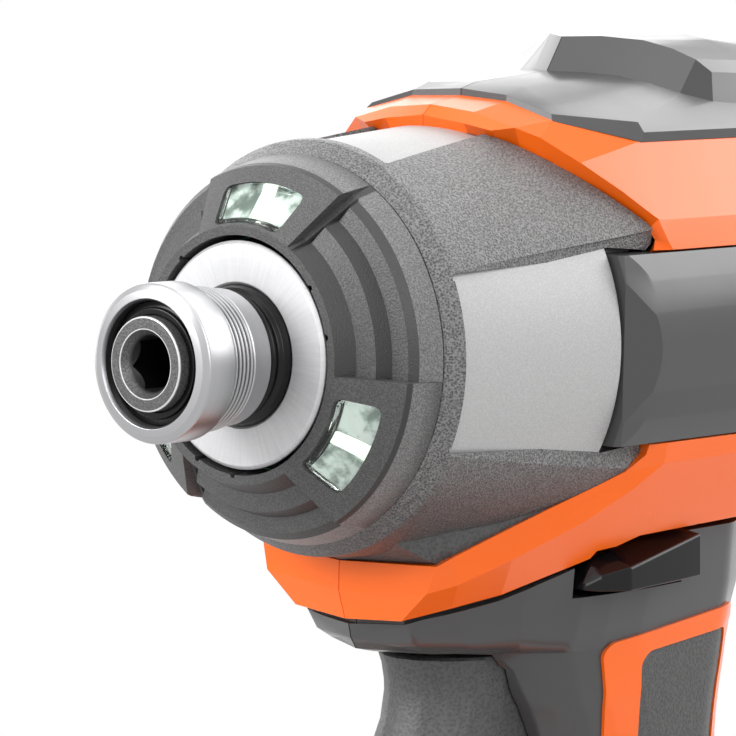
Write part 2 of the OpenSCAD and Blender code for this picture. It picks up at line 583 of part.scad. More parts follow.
// A rounded oval seen from above, between two places along X
function oval(x0, x1, half) = [for (a = [0:20:340])
    [(x0 + x1) / 2 + (x0 - x1) / 2 * sign(cos(a)) * pow(abs(cos(a)), 0.8), half * sign(sin(a)) * pow(abs(sin(a)), 0.8)]];
module slice_x(x, points) translate([x, 0, 0]) rotate([90, 0, 90]) linear_extrude(eps) polygon(points);
module slice_z(z, points) translate([0, 0, z]) linear_extrude(eps) polygon(points);
function head_outline(s, g) = let(k = s[6] / 28.9, half = [[s[5] + g, 0], [s[4] + g, s[3] + g], [s[2] + g, s[1] + g],
        [belly_half + 0.2, s[6] + g], [-belly_half - 0.2, s[6] + g], [-16 * k, 28.3 * k + g],
        [-26.5 * k, 22.5 * k + g], [-31 * k - g, 19.5 * k + g]])
    [for (p = both_sides(half)) [p[1], p[0]]];
module head_loft(g = 0) for (i = [0:len(head_sections) - 2]) hull() {
    slice_x(head_sections[i][0] + (i == 0 ? g : 0), head_outline(head_sections[i], g));
    slice_x(head_sections[i + 1][0] - (i == len(head_sections) - 2 ? g : 0), head_outline(head_sections[i + 1], g));
}
function cap_outline(s) = let(half = [[s[4], 0], [s[4] - 0.3, s[1] * 0.55], [s[3], s[1]], [s[2] - 3, s[1]]])
    [for (p = both_sides(half)) [p[1], p[0]]];
module cap_loft() {
    for (i = [0:len(cap_sections) - 2]) hull() {
        slice_x(cap_sections[i][0], cap_outline(cap_sections[i]));
        slice_x(cap_sections[i + 1][0], cap_outline(cap_sections[i + 1]));
    }
    hull() {
        slice_z(34, both_sides([[-79, 0], [-84, 8], [-88, 16.5], [-rear_x + 8, 16.5]]));
        slice_z(boss_top_z, both_sides([[-82.5, 0], [-86, 7], [-90, 13], [-rear_x + 13, 13]]));
    }
}
module belly() intersection() {
    turned([[-belly_x, 0], [-belly_x, belly_r - 1.6], [-belly_x - 6, belly_r], [-rear_x + 15, belly_r],
        [-rear_x + 4, belly_r - 4], [-rear_x, belly_r - 7.5], [-rear_x, 0]]);
    block([-far, -far, -belly_half], [0, far, belly_half]);
}
module z_loft(sections, g = 0) for (i = [0:len(sections) - 2]) hull() for (k = [i, i + 1])
    slice_z(sections[k][0], [for (p = both_sides(sections[k][1])) [p[0] + g, p[1] + sign(p[1]) * g]]);
module grip_loft(sections, inset = 0) for (i = [0:len(sections) - 2]) hull() for (k = [i, i + 1])
    let(s = sections[k]) slice_z(s[0], oval(s[1] - inset, s[2] + inset, s[3] - inset));
// The foot: chamfered plan sections
function chamfered(x0, x1, half, c) = both_sides([[x0, half - c], [x0 - c, half], [x1 + c, half], [x1, half - c]]);
module foot_loft(g = 0) for (i = [0:len(foot_sections) - 2]) hull() for (k = [i, i + 1])
    let(s = foot_sections[k]) slice_z(s[0] + (k == 0 ? g : 0), chamfered(s[1] + g, s[2] - g, s[3] + g, 8));
module chin_mask(g = 0) side_slab([[-30, -10], [-30, chin_z - g], [-38.6, chin_z - g], [-42, -36.7 - g], [-46, -35.3 - g],
    [-52, -33.8 - g], [-60, -32.3 - g], [-65.7, -29.9 - g], [-74, -28 - g], [-74, -10]], -far, far);
// The orange panel in the grip's side, seen from the side
module grip_panel(g = 0) side_slab([[-71.5 + g, -44], [-73.5 + g, -42.4 + g], [-104 - g, -39.5 + g], [-106 - g, -44],
    [-104 - g, -70], [-92, -84 - g], [-76 + g, -70 - g]], -far, far);
module core_form(g = 0) {
    head_loft(g);
    intersection() {
        z_loft(chin_sections, g);
        chin_mask(g);
    }
    grip_loft(grip_sections, skin_t - g);
    intersection() {
        grip_loft(grip_sections, 0.02 - g);
        grip_panel(g);
    }
    foot_loft(g);
}
// Screws across the housing as [x, z, y of the head's seat]; the heads lie on the right
screw_list = [[-54, -37, -10], [-96, -35, -14], [-76, 29.8, -11], [-rear_x + 17, 28.9, -11], [-92, -88, -10],
    [-95, -110, -10], [-55, foot_bottom_z + 14.2, -16], [-129, foot_bottom_z + 14.8, -16]];
screw_end_y = 10;
module screw_places(list = screw_list) for (s = list) translate([s[0], 0, s[1]]) let($seat = s[2]) children();
// Everything that is open through both the core and the skin
module cutouts() {
    intersection() {
        cover_solid(seat_gap);
        block([-belly_x + 0.3, -far, -far], [0, far, far]);
    }
    difference() {
        cover_zone(seat_gap);
        rod(-80, 0, case_rear_r);
    }
    // Trigger pocket and the selector's slot
    block([-80, -trigger_half_w - slide_gap, -72.4], [-30, trigger_half_w + slide_gap, neck_z - 0.2]);
    block([-87.5, -far, -36], [-62.4, far, -30.6]);
    for (side = [-1, 1]) scale([1, side, 1]) block([-87.5, 15.5, -36], [-62.4, far, -28]);
    // Air slots beside the fan, and in the back
    for (z = [-9, -3, 3, 9], side = [-1, 1]) scale([1, side, 1])
        block([fan_rear_x + 0.5, 18, z - 1.3], [fan_x - 0.5, far, z + 1.3]);
    for (z = [-15, -10.5, 10.5, 15]) block([-rear_x - 5, -9, z - 1.2], [rear_bearing_x, 9, z + 1.2]);
    // Heads of the housing screws
    screw_places() cross_rod(-far, $seat, head_r + 0.2);
}
module motor_space() {
    rod(case_rear_x - 3.9, -belly_x + 0.4, register_r + seat_gap);
    rod(stack_front_x + 1, case_rear_x - 3, motor_bore_r);
    rod(stack_rear_x - 1, stack_front_x + 1.1, stator_r + seat_gap);
    rod(rear_bearing_x + 1.5, stack_rear_x - 0.9, motor_bore_r - 0.6);
    rod(rear_bearing_x - bearing_w - 0.1, rear_bearing_x + 2, bearing_r + run_gap);
    rod(shaft_rear_x - 1, rear_bearing_x, shaft_r + 1.2);
    // The motor leads' way down behind the switch
    block([-107.5, -6, -48], [-101.5, 6, -20]);
    block([-104.4, -5.6, foot_bottom_z + 17], [-98, 5.6, -42]);
    block([switch_x - 22.2, -10.6, -76.2], [switch_x + 1, 10.6, -42]);
}
tower_top_z = deck_z + tower_h;
module tower_space() {
    slide_end = -battery_back - pack_len / 2 + 12;
    block([slide_end, -tower_half_w + 4 - slide_gap, foot_bottom_z - 1],
        [0, tower_half_w - 4 + slide_gap, tower_top_z - 2.4]);
    block([slide_end, -tower_half_w - slide_gap, tower_top_z - 2.4], [0, tower_half_w + slide_gap, tower_top_z + 0.4]);
}
button_x = -63;
module housing_half(side) difference() {
    intersection() {
        union() {
            difference() {
                core_form();
                // The hollow grip
                intersection() {
                    grip_loft(grip_sections, skin_t + 2.6);
                    block([-far, -far, foot_bottom_z + 17.8], [0, far, -42]);
                }
                block([-124, -foot_half_w + 12, foot_bottom_z + 11.4], [-67.6, foot_half_w - 12, foot_bottom_z + 18]);
            }
            screw_places([for (s = screw_list) if (s[1] < -80) s]) cross_rod($seat - 2, screw_end_y + 2.5, 3.9);
        }
        if (side > 0)
            block([-far, 0.05, -far], [0, far, far]);
        else
            block([-far, -far, -far], [0, -0.05, far]);
    }
    cutouts();
    motor_space();
    tower_space();
    screw_places() cross_rod($seat - 1, screw_end_y + 0.4, screw_r + 0.06);
    // Seats of the belt hook's inserts, of the button and of the terminals
    hook_places() cross_rod(-foot_half_w - 1, -foot_half_w + 8.2, insert_r + 0.02);
    translate([button_x, 0, foot_bottom_z + 12]) cylinder(h = 20, r = button_r + 0.2);
    block([terminal_x - 0.1, -20.1, foot_bottom_z + 0.9], [terminal_x + 4, 20.1, tower_top_z - 2.3]);
}
module overmold_half(side) difference() {
    union() {
        cap_loft();
        belly();
        z_loft(neck_sections);
        grip_loft(grip_sections);
    }
    core_form(seat_gap);
    cutouts();
    motor_space();
    block([-far, side > 0 ? -far : -0.05, -far], [0, side > 0 ? 0.05 : far, far]);
    screw_places() cross_rod($seat - 1, screw_end_y + 0.4, screw_r + 0.06);
}
insert_r = 2.6;
button_r = 4;
hook_x = -92;
hook_z = foot_bottom_z + 6;
terminal_x = -battery_back - pack_len / 2 + 9;
module hook_places(sides = [-1, 1]) for (side = sides) translate([hook_x, 0, hook_z])
    scale([1, -side, 1]) children();
module left_housing() color("orangered") placed() housing_half(1);
module right_housing() color("orangered") placed() housing_half(-1);
module left_overmold() color("dimgray") placed() overmold_half(1);
module right_overmold() color("dimgray") placed() overmold_half(-1);

// Controls
switch_x = -79;
module trigger() color("black") placed() difference() {
    union() {
        side_slab([[-44.3, -44.4], [-46.3, -46], [-47.6, -49.5], [-48.4, -55], [-48, -61], [-46.2, -66.5], [-47.5, -69],
            [-52, -70.5], [-66, -70.5], [-69.5, -68], [-69.5, -46], [-66, -44.4]], -trigger_half_w, trigger_half_w);
        translate([0, 0, -52]) rod(switch_x - 2, -69, 3);
    }
    translate([0, 0, -62]) rod(-70, -58, 4.2);
}
module trigger_spring() color("lightsteelblue") placed() translate([0, 0, -62])
    coil(switch_x + 0.05, -58.05, 3.4, 0.45, 7, 14);
module switch_body() color("black") placed() difference() {
    union() {
        block([switch_x - 22, -10.4, -76], [switch_x, 10.4, -46]);
        block([switch_x - 16, -5, -46], [switch_x - 4, 5, -42.5]);
    }
    translate([0, 0, -52]) rod(switch_x - trigger_travel - 3, switch_x + 1, 3.2);
    // The socket of the lever that the selector turns
    block([switch_x - 14, -3, -44.6], [switch_x - 6, 3, -42]);
}
module direction_selector() color("black") placed() difference() {
    translate([-87, 0, 0]) rotate([90, 0, 90]) linear_extrude(24)
        polygon(both_sides_x([[selector_half - 1.2, -35.6], [selector_half, -34.2], [selector_half, -29.4],
            [selector_half - 1.2, -28.4], [20, -28.4], [18.4, -31], [0, -31]]));
    for (side = [-1, 1]) scale([1, side, 1])
        block([-80, selector_half - 0.6, -34], [-70, selector_half + 1, -30]);
    block([-84, -2.6, -37], [-78, 2.6, -33]);
}
function both_sides_x(half) = concat(half, [for (i = [len(half) - 1:-1:0]) [-half[i][0], half[i][1]]]);
module mode_button() color("dimgray") placed() translate([button_x, 0, foot_bottom_z]) union() {
    translate([0, 0, 14.6]) cylinder(h = 8.6, r = button_r);
    translate([0, 0, 22.2]) cylinder(h = 1.6, r1 = button_r, r2 = button_r - 0.8);
}
module control_module() color("seagreen") placed() difference() {
    block([-123.5, -22, foot_bottom_z + 11.6], [-68, 22, foot_bottom_z + 17]);
    block([-121.5, -20, foot_bottom_z + 13.4], [-70, 20, foot_bottom_z + 18]);
}
blade_y = [-16, -8, 0, 8, 16];
module terminal_block() color("black") placed() difference() {
    block([terminal_x, -20, foot_bottom_z + 1], [terminal_x + 3.4, 20, tower_top_z - 2.6]);
    for (y = blade_y) block([terminal_x - 1, y - 0.42, foot_bottom_z + 2], [terminal_x + 4, y + 0.42, tower_top_z - 3.2]);
}
module terminal_blades() color("gold") placed() for (y = blade_y)
    block([terminal_x + 0.2, y - 0.4, foot_bottom_z + 2.02], [terminal_x + 14, y + 0.4, tower_top_z - 3.22]);

// Battery pack
pack_x0 = -battery_back - pack_len / 2;
pack_x1 = -battery_back + pack_len / 2;
tower_x0 = pack_x0 + 12.6;
tower_x1 = pack_x1 - 10;
module pack_shell(z0, z1, inset = 0) translate([0, 0, base_z + z0]) linear_extrude(z1 - z0)
    polygon(chamfered(pack_x1 - inset, pack_x0 + inset, pack_w / 2 - inset, 7 - 0.6 * inset));
latch_mid_x = -battery_back + 14;
// Heights inside the pack, below its deck
board_z = deck_z - 8;
latch_z = deck_z - 5.7;
gauge_z = deck_z - 12;
// Two rows of cells fill the height between the pack's floor and its board
cell_floor = 2.8;
cell_r = (deck_h - cell_floor - 9.4 - cell_gap) / 4;
cell_len = pack_w - 2 * (pack_wall + cell_end_gap);
cell_pitch = 2 * cell_r + cell_gap;
// How far the screw ribs reach in from the pack's ends, and the cells that fit in a row between them
rib_reach = 7.6;
row_n = floor((pack_len - 2 * rib_reach + cell_gap) / cell_pitch);
module cell_places() for (i = [0.5 - row_n / 2:row_n / 2 - 0.5], row = [0, 1])
    translate([-battery_back + i * cell_pitch, 0, base_z + cell_floor + cell_r + row * cell_pitch]) children();
module latch_sides() for (side = [-1, 1]) translate([latch_mid_x, 0, 0]) scale([1, side, 1]) children();
module battery_lower_shell() color("dimgray") placed() difference() {
    union() {
        pack_shell(1.6, split_h - 0.05);
        pack_shell(0, 1.6, 1.6);
    }
    difference() {
        pack_shell(pack_wall, split_h + 1, pack_wall);
        screw_ribs(0, split_h - 0.05);
    }
    battery_screw_places() {
        translate([0, 0, -1]) cylinder(h = far, r = screw_r + 0.06);
        translate([0, 0, -1]) cylinder(h = 3.2, r = head_r + 0.2);
    }
}
module battery_screw_places() for (side = [0, 180], y = [-20, 20])
    translate([-battery_back, 0, base_z]) rotate([0, 0, side]) translate([pack_len / 2 - 5.2, y, 0]) children();
// Ribs on the end walls that take the screws, between two heights
module screw_ribs(z0, z1) battery_screw_places() translate([0, 0, z0])
    block([5.2 - rib_reach, -3.6, 0], [4, 3.6, z1 - z0]);
module battery_upper_shell() color("black") placed() difference() {
    union() {
        difference() {
            union() {
                pack_shell(split_h + 0.05, deck_h - 2);
                pack_shell(deck_h - 2, deck_h, 1);
            }
            difference() {
                pack_shell(split_h - 1, deck_h - pack_wall, pack_wall);
                screw_ribs(split_h + 0.05, deck_h);
            }
        }
        block([tower_x0, -tower_half_w + 4, deck_z - 0.5], [tower_x1, tower_half_w - 4, tower_top_z]);
        block([tower_x0, -tower_half_w, tower_top_z - 2], [tower_x1, tower_half_w, tower_top_z]);
    }
    block([tower_x0 + 1.8, -19.5, deck_z - 5], [tower_x0 + 30, 19.5, tower_top_z - 2]);
    for (y = blade_y) block([tower_x0 - 1, y - 1, foot_bottom_z + 1.4], [tower_x0 + 3, y + 1, tower_top_z - 2.8]);
    latch_sides() block([-14, pack_w / 2 - 4, latch_z - 2.4], [14, pack_w, latch_z + 2.4]);
    translate([0, 12, gauge_z]) rod(pack_x1 - 4, pack_x1 + 1, 3.2);
    battery_screw_places() cylinder(h = split_h + 8, r = screw_r + 0.06);
}
module battery_cells() color("steelblue") placed() cell_places() difference() {
    cross_rod(-cell_len / 2, cell_len / 2, cell_r);
    cross_rod(cell_len / 2 - 0.6, cell_len, 3.4);
}
module cell_carrier() color("whitesmoke") placed() difference() {
    for (side = [-1, 1]) scale([1, side, 1]) {
        block([pack_x0 + 5, 24, base_z + pack_wall + 0.2], [pack_x1 - 5, 27, latch_z - 2.9]);
        block([latch_mid_x - 12, 28, latch_z - 3], [latch_mid_x + 12, 29, latch_z + 2.7]);
        block([latch_mid_x - 12, 24, latch_z - 3], [latch_mid_x + 12, 28.5, latch_z - 2]);
    }
    cell_places() cross_rod(-40, 40, cell_r + 0.1);
}
module battery_board() color("seagreen") placed() difference() {
    block([pack_x0 + 8, -23, board_z], [pack_x1 - 8, 23, board_z + 1.5]);
    block([pack_x1 - 12, 8, board_z - 1], [pack_x1 - 7, 16, board_z + 3]);
}
module battery_contacts() color("gold") placed() for (y = blade_y) difference() {
    block([tower_x0 + 3, y - 1.4, board_z + 1.6], [tower_x0 + 15, y + 1.4, tower_top_z - 2.3]);
    block([tower_x0 + 2, y - 0.6, foot_bottom_z + 0.5], [tower_x0 + 16, y + 0.6, tower_top_z - 2]);
}
module latch_body() translate([latch_mid_x, 0, 0]) union() {
    block([-13.6, pack_w / 2 - 3.4, latch_z - 2], [13.6, pack_w / 2 + 1.2, latch_z + 2]);
    block([-16, pack_w / 2 - 4.4, latch_z - 2.8], [16, pack_w / 2 - pack_wall - 0.1, latch_z + 2.9]);
}
module left_latch() color("dimgray") placed() latch_body();
module right_latch() color("dimgray") placed() scale([1, -1, 1]) latch_body();
module gauge_button() color("gainsboro") placed() translate([0, 12, gauge_z]) union() {
    rod(pack_x1 - 3.6, pack_x1 + 1.4, 3);
    rod(pack_x1 - 4.4, pack_x1 - pack_wall - 0.1, 4);
}
module battery_screws() color("silver") placed() battery_screw_places() union() {
    translate([0, 0, 0.6]) cylinder(h = 1.6, r = head_r);
    translate([0, 0, 2.1]) cylinder(h = split_h + 5, r = screw_r);
}

// Belt hook, its inserts and the fasteners
module hook_inserts() color("goldenrod") placed() hook_places()
    difference() {
        cross_rod(-foot_half_w, -foot_half_w + 8, insert_r);
        cross_rod(-foot_half_w - 1, -foot_half_w + 9, hook_hole_r);
    }
module belt_hook() color("silver") placed() difference() {
    f = foot_bottom_z;
    w = foot_half_w + 0.05;
    translate([hook_x - hook_w / 2, 0, 0]) rotate([90, 0, 90]) linear_extrude(hook_w)
        polygon([[w, f + 0.6], [w + 2, f + 0.6], [w + 2, f + 12.8], [w + 13, f + 18], [w + 13, f + 55], [w + 9.6, f + 59],
            [w + 8.2, f + 57.6], [w + 11, f + 54.2], [w + 11, f + 19.4], [w, f + 14.2]]);
    translate([hook_x, 0, hook_z]) cross_rod(w - 1, w + 4, hook_hole_r + 0.1);
}
module belt_hook_screw() color("silver") placed() translate([hook_x, foot_half_w + 0.05, hook_z]) difference() {
    union() {
        cross_rod(-7, 2.1, hook_hole_r - 0.02);
        cross_rod(2.05, 4.4, 4);
    }
    translate([0, 3.2, 0]) rotate([-90, 0, 0]) cylinder(h = 2, r = 1.7, $fn = 6);
}
module housing_screws() color("silver") placed() screw_places() difference() {
    union() {
        cross_rod($seat - 2, $seat - 0.05, head_r);
        cross_rod($seat - 0.1, screw_end_y, screw_r);
    }
    translate([0, $seat - 1, 0]) rotate([90, 0, 0]) cylinder(h = 2, r = 1.6, $fn = 6);
}

// Which piece is drawn: its name, or "all"

anvil();
bit_balls();
chuck_sleeve();
sleeve_spring();
spring_cup();
snap_ring();
bumper_ring();
anvil_bushing();
hammer_case();
case_cover();
nose_cap();
led_lenses();
lamp_board();
hammer();
hammer_spring();
cam_balls();
cam_shaft();
planet_gear_a();
planet_gear_b();
planet_gear_c();
planet_pins();
ring_gear();
gear_back_plate();
front_bearing();
rear_bearing();
rotor_shaft();
rotor_core();
cooling_fan();
stator_core();
stator_insulators();
stator_windings();
sensor_board();
motor_leads();
left_housing();
right_housing();
left_overmold();
right_overmold();
trigger();
trigger_spring();
switch_body();
direction_selector();
control_module();
terminal_block();
terminal_blades();
mode_button();
battery_upper_shell();
battery_lower_shell();
battery_cells();
cell_carrier();
battery_board();
battery_contacts();
left_latch();
right_latch();
gauge_button();
belt_hook();
hook_inserts();
belt_hook_screw();
housing_screws();
case_screws();
battery_screws();
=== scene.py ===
"""A cordless impact driver, dressed piece by piece over its solid model.

Lengths in the shape code are millimetres in the spindle's frame: x = 0 at the front rim of the chuck
sleeve, +x forward, +y the tool's left, +z up. Shader lengths are metres in the part's frame.
"""

import json
import logging
import math
from collections.abc import Callable, Iterable, Sequence
from dataclasses import dataclass
from enum import Enum

import bmesh
import bpy
from mathutils import Matrix, Vector

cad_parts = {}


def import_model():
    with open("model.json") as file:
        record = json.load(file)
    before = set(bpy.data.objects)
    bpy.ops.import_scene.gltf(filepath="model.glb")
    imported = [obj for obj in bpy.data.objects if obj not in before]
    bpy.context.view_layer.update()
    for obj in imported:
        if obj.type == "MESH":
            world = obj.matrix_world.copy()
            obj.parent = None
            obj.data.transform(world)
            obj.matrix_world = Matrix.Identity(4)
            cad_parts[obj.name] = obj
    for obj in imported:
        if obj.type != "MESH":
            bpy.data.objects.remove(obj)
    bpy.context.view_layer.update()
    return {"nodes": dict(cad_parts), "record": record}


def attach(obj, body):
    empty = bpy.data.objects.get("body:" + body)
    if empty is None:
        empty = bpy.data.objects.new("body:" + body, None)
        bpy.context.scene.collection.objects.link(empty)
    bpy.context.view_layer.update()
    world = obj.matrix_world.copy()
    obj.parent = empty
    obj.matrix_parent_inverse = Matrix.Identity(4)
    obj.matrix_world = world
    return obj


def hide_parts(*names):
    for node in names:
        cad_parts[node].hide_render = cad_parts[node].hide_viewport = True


LOG = logging.getLogger("driver")
MM = 0.001
SPINDLE = Vector((91.0, 0.0, 195.0))

Point = tuple[float, float, float]
Flat = tuple[float, float]
Colour = tuple[float, float, float]
Box = tuple[float, float, float, float]


class Body(Enum):
    """The moving bodies that visible pieces ride on."""

    HOUSING = "housing"
    ANVIL = "anvil"
    SLEEVE = "sleeve"
    TRIGGER = "trigger"
    SELECTOR = "selector"
    MODE = "mode_button"
    BATTERY = "battery"
    LEFT_LATCH = "left_latch"
    RIGHT_LATCH = "right_latch"
    GAUGE = "gauge_button"


class Axis(Enum):
    """The direction that an outline is carried along."""

    X = 0
    Y = 1
    Z = 2


@dataclass(frozen=True)
class Sizes:
    """Sizes shared by several pieces, as in the solid model."""

    sleeve_r: float = 10.5
    grip_r: float = 9.6
    skirt_r: float = 9.1
    anvil_r: float = 6.25
    anvil_proud: float = 1.3
    mouth_r: float = 4.55
    hex_af: float = 6.35
    hex_turn: float = 10.0
    hex_depth: float = 24.0
    nose_face_x: float = -16.3
    nose_face_r: float = 15.2
    cap_seam_x: float = -27.35
    window_x: float = -30.2
    case_front_r: float = 27.4
    belly_x: float = -60.5
    case_rear_r: float = 29.9
    belly_r: float = 32.0
    belly_half: float = 13.0
    base_z: float = -195.0
    deck_z: float = -145.0
    foot_z: float = -144.4
    battery_x: float = -91.0
    pack_len: float = 112.0
    pack_w: float = 76.0
    split_z: float = -168.0


S = Sizes()


# Shader maths


class Wire:
    """A shader socket that takes part in arithmetic with numbers and other sockets."""

    def __init__(self, tree: "Tree", socket: bpy.types.NodeSocket) -> None:
        """Takes an output socket with one number, and the tree that its node is in."""
        self.tree = tree
        self.socket = socket

    def maths(self, operation: str, *others: "Wire | float") -> "Wire":
        """Args:
            operation: Name of a Math node's operation.
            others: The second and third operand.

        Returns:
            The node's result.
        """
        inputs = {0: self, **dict(enumerate(others, 1))}
        node = self.tree.node("ShaderNodeMath", {"operation": operation}, inputs)
        return Wire(self.tree, node.outputs[0])

    def __add__(self, other: "Wire | float") -> "Wire":
        """Adds a number or another socket."""
        return self.maths("ADD", other)

    __radd__ = __add__

    def __mul__(self, other: "Wire | float") -> "Wire":
        """Multiplies by a number or another socket."""
        return self.maths("MULTIPLY", other)

    __rmul__ = __mul__

    def __sub__(self, other: "Wire | float") -> "Wire":
        """Takes a number or another socket away."""
        return self.maths("SUBTRACT", other)

    def __rsub__(self, other: float) -> "Wire":
        """Is taken away from a number."""
        return self.maths("MULTIPLY_ADD", -1.0, other)

    def __pow__(self, other: "Wire | float") -> "Wire":
        """Raised to a power."""
        return self.maths("POWER", other)

    def clamped(self) -> "Wire":
        """The value held between 0 and 1."""
        node = self.tree.node("ShaderNodeClamp", {}, {"Value": self})
        return Wire(self.tree, node.outputs[0])

    def mapped(self, low: float, high: float, to_low: float = 0.0, to_high: float = 1.0) -> "Wire":
        """Args:
            low: Value that becomes to_low.
            high: Value that becomes to_high.
            to_low: Lowest result.
            to_high: Highest result.

        Returns:
            The value carried smoothly from one range to the other.
        """
        node = self.tree.node(
            "ShaderNodeMapRange",
            {"interpolation_type": "SMOOTHSTEP"},
            {"Value": self, "From Min": low, "From Max": high, "To Min": to_low, "To Max": to_high},
        )
        return Wire(self.tree, node.outputs[0])


class Tree:
    """The node tree of one material."""

    def __init__(self, name: str) -> None:
        """Args:
        name: Name of the new material.
        """
        self.material = bpy.data.materials.new(name)
        self.material.use_nodes = True
        self.nodes = self.material.node_tree.nodes
        self.nodes.clear()
        self.output = self.node("ShaderNodeOutputMaterial", {}, {})
        coordinates = self.node("ShaderNodeTexCoord", {}, {})
        self.place = coordinates.outputs["Object"]

    def node(self, kind: str, settings: dict, inputs: dict) -> bpy.types.Node:
        """Args:
            kind: The node's type.
            settings: Properties set before the sockets, as some of them change the sockets.
            inputs: Values, sockets or wires by the socket's name or number.

        Returns:
            The new node.
        """
        made = self.nodes.new(kind)
        for key, value in settings.items():
            setattr(made, key, value)
        for key, value in inputs.items():
            target = made.inputs[key]
            if isinstance(value, Wire):
                value = value.socket
            if isinstance(value, bpy.types.NodeSocket):
                self.material.node_tree.links.new(value, target)
            elif isinstance(value, tuple) and target.type == "RGBA":
                target.default_value = (*value, 1.0)
            else:
                target.default_value = value
        return made

    def noise(self, scale: float, detail: float = 2.0, at: bpy.types.NodeSocket | None = None) -> Wire:
        """Noise between 0 and 1: waves per metre, octaves, and coordinates if not the piece's own."""
        inputs = {"Vector": at or self.place, "Scale": scale, "Detail": detail}
        return Wire(self, self.node("ShaderNodeTexNoise", {}, inputs).outputs[0])

    def cells(self, scale: float) -> Wire:
        """The distance to the nearest cell's middle, with so many cells per metre."""
        inputs = {"Vector": self.place, "Scale": scale}
        return Wire(self, self.node("ShaderNodeTexVoronoi", {}, inputs).outputs[0])

    def polar(self) -> tuple[Wire, Wire, Wire]:
        """Returns:
        The angle about the spindle in radians, the distance from it and the place along it.
        """
        parts = self.node("ShaderNodeSeparateXYZ", {}, {"Vector": self.place}).outputs
        along, across = Wire(self, parts[0]), Wire(self, parts[1])
        up = Wire(self, parts[2]) - SPINDLE.z * MM
        return up.maths("ARCTAN2", across), (across * across + up * up) ** 0.5, along

    def point(self, x: "Wire | float", y: "Wire | float", z: "Wire | float") -> bpy.types.NodeSocket:
        """The socket of a vector joined from three numbers."""
        return self.node("ShaderNodeCombineXYZ", {}, {"X": x, "Y": y, "Z": z}).outputs[0]

    def blend(
        self, factor: Wire, low: "Colour | bpy.types.NodeSocket", high: "Colour | bpy.types.NodeSocket"
    ) -> bpy.types.NodeSocket:
        """The socket of a mix of two colours, the first at 0 and the second at 1."""
        mixed = self.node("ShaderNodeMix", {"data_type": "RGBA"}, {0: factor, 6: low, 7: high})
        return mixed.outputs[2]

    def facing(self, axis: Axis) -> Wire:
        """How far the surface faces along an axis, from -1 to 1."""
        normal = self.node("ShaderNodeNewGeometry", {}, {}).outputs["Normal"]
        return Wire(self, self.node("ShaderNodeSeparateXYZ", {}, {"Vector": normal}).outputs[axis.value])

    def bump(self, height: Wire, depth: float) -> bpy.types.NodeSocket:
        """The normal bent by a relief between 0 and 1 that is so many metres high."""
        inputs = {"Height": height, "Distance": depth, "Strength": 1.0}
        return self.node("ShaderNodeBump", {}, inputs).outputs[0]

    def shader(self, inputs: dict) -> bpy.types.Material:
        """Args:
            inputs: Inputs of the principled shader.

        Returns:
            The finished material.
        """
        surface = self.node("ShaderNodeBsdfPrincipled", {}, inputs)
        self.material.node_tree.links.new(surface.outputs[0], self.output.inputs[0])
        return self.material


# Waves per metre of the slow change of colour and of gloss, the gloss's spread and the lacquer's roughness
PATCHES = 60.0
GLOSS_PATCHES = 140.0
GLOSS_SPREAD = 0.1
LACQUER = 0.12


@dataclass(frozen=True)
class Finish:
    """A moulded or painted surface with a fine even grain."""

    name: str
    colour: Colour
    roughness: float = 0.4
    metallic: float = 0.0
    wander: float = 0.06
    grain: float = 0.0004
    relief: float = 0.000006
    coat: float = 0.0
    specular: float = 0.5

    def tints(self, spread: float, share: float = 1.0) -> tuple[Colour, Colour]:
        """A darker and a lighter colour, spread evenly about a share of the finish's own."""
        factors = (share * (1.0 - spread), share * (1.0 + spread))
        return tuple(tuple(min(1.0, c * factor) for c in self.colour) for factor in factors)

    def height(self, tree: Tree) -> Wire:
        """The relief between 0 and 1, in a material's tree."""
        return tree.noise(1.0 / self.grain, 3.0)

    def shade(self, tree: Tree, height: Wire) -> bpy.types.NodeSocket:
        """The colour's socket, in a material's tree with the relief at hand."""
        return tree.blend(tree.noise(PATCHES, 2.0), *self.tints(self.wander))

    def inputs(self, tree: Tree) -> dict:
        """Args:
            tree: The material's tree.

        Returns:
            The shader's inputs.
        """
        height = self.height(tree)
        return {
            "Base Color": self.shade(tree, height),
            "Roughness": (
                tree.noise(GLOSS_PATCHES) * GLOSS_SPREAD + (self.roughness - GLOSS_SPREAD / 2)
            ).clamped(),
            "Metallic": self.metallic,
            "Coat Weight": self.coat,
            "Coat Roughness": LACQUER,
            "Specular IOR Level": self.specular,
            "Normal": tree.bump(height, self.relief),
        }

    def made(self) -> bpy.types.Material:
        """The finished material."""
        tree = Tree(self.name)
        return tree.shader(self.inputs(tree))


@dataclass(frozen=True)
class Grained(Finish):
    """A sprayed or moulded grain whose pits are darker than its tops."""

    pits: float = 0.5

    def height(self, tree: Tree) -> Wire:
        """Noise and cells, both about a grain wide."""
        scale = 1.0 / self.grain
        return (tree.noise(scale, 2.0) * 0.6 + tree.cells(scale * 0.8) * 0.5).clamped()

    def speckled(self, tree: Tree, height: Wire, share: float = 1.0) -> bpy.types.NodeSocket:
        """A colour that is darker in the pits, from a share of the finish's own."""
        return tree.blend(height.mapped(0.3, 0.75), *self.tints(self.pits, share))

    def shade(self, tree: Tree, height: Wire) -> bpy.types.NodeSocket:
        """Darker in the pits."""
        return self.speckled(tree, height)


@dataclass(frozen=True)
class Shadowed(Grained):
    """A grain with painted shade: its lower side is darker."""

    # Share of the colour that the painted shade on the lower side keeps
    under: float = 0.5
    # Upward share of the surface's direction, where it is darkest and where it stops being darker
    fall: Flat = (-0.8, -0.35)

    def shade(self, tree: Tree, height: Wire) -> bpy.types.NodeSocket:
        """Darker in the pits, with painted shade where the surface faces down."""
        below, above = self.speckled(tree, height, self.under), self.speckled(tree, height)
        return tree.blend(tree.facing(Axis.Z).mapped(*self.fall), below, above)


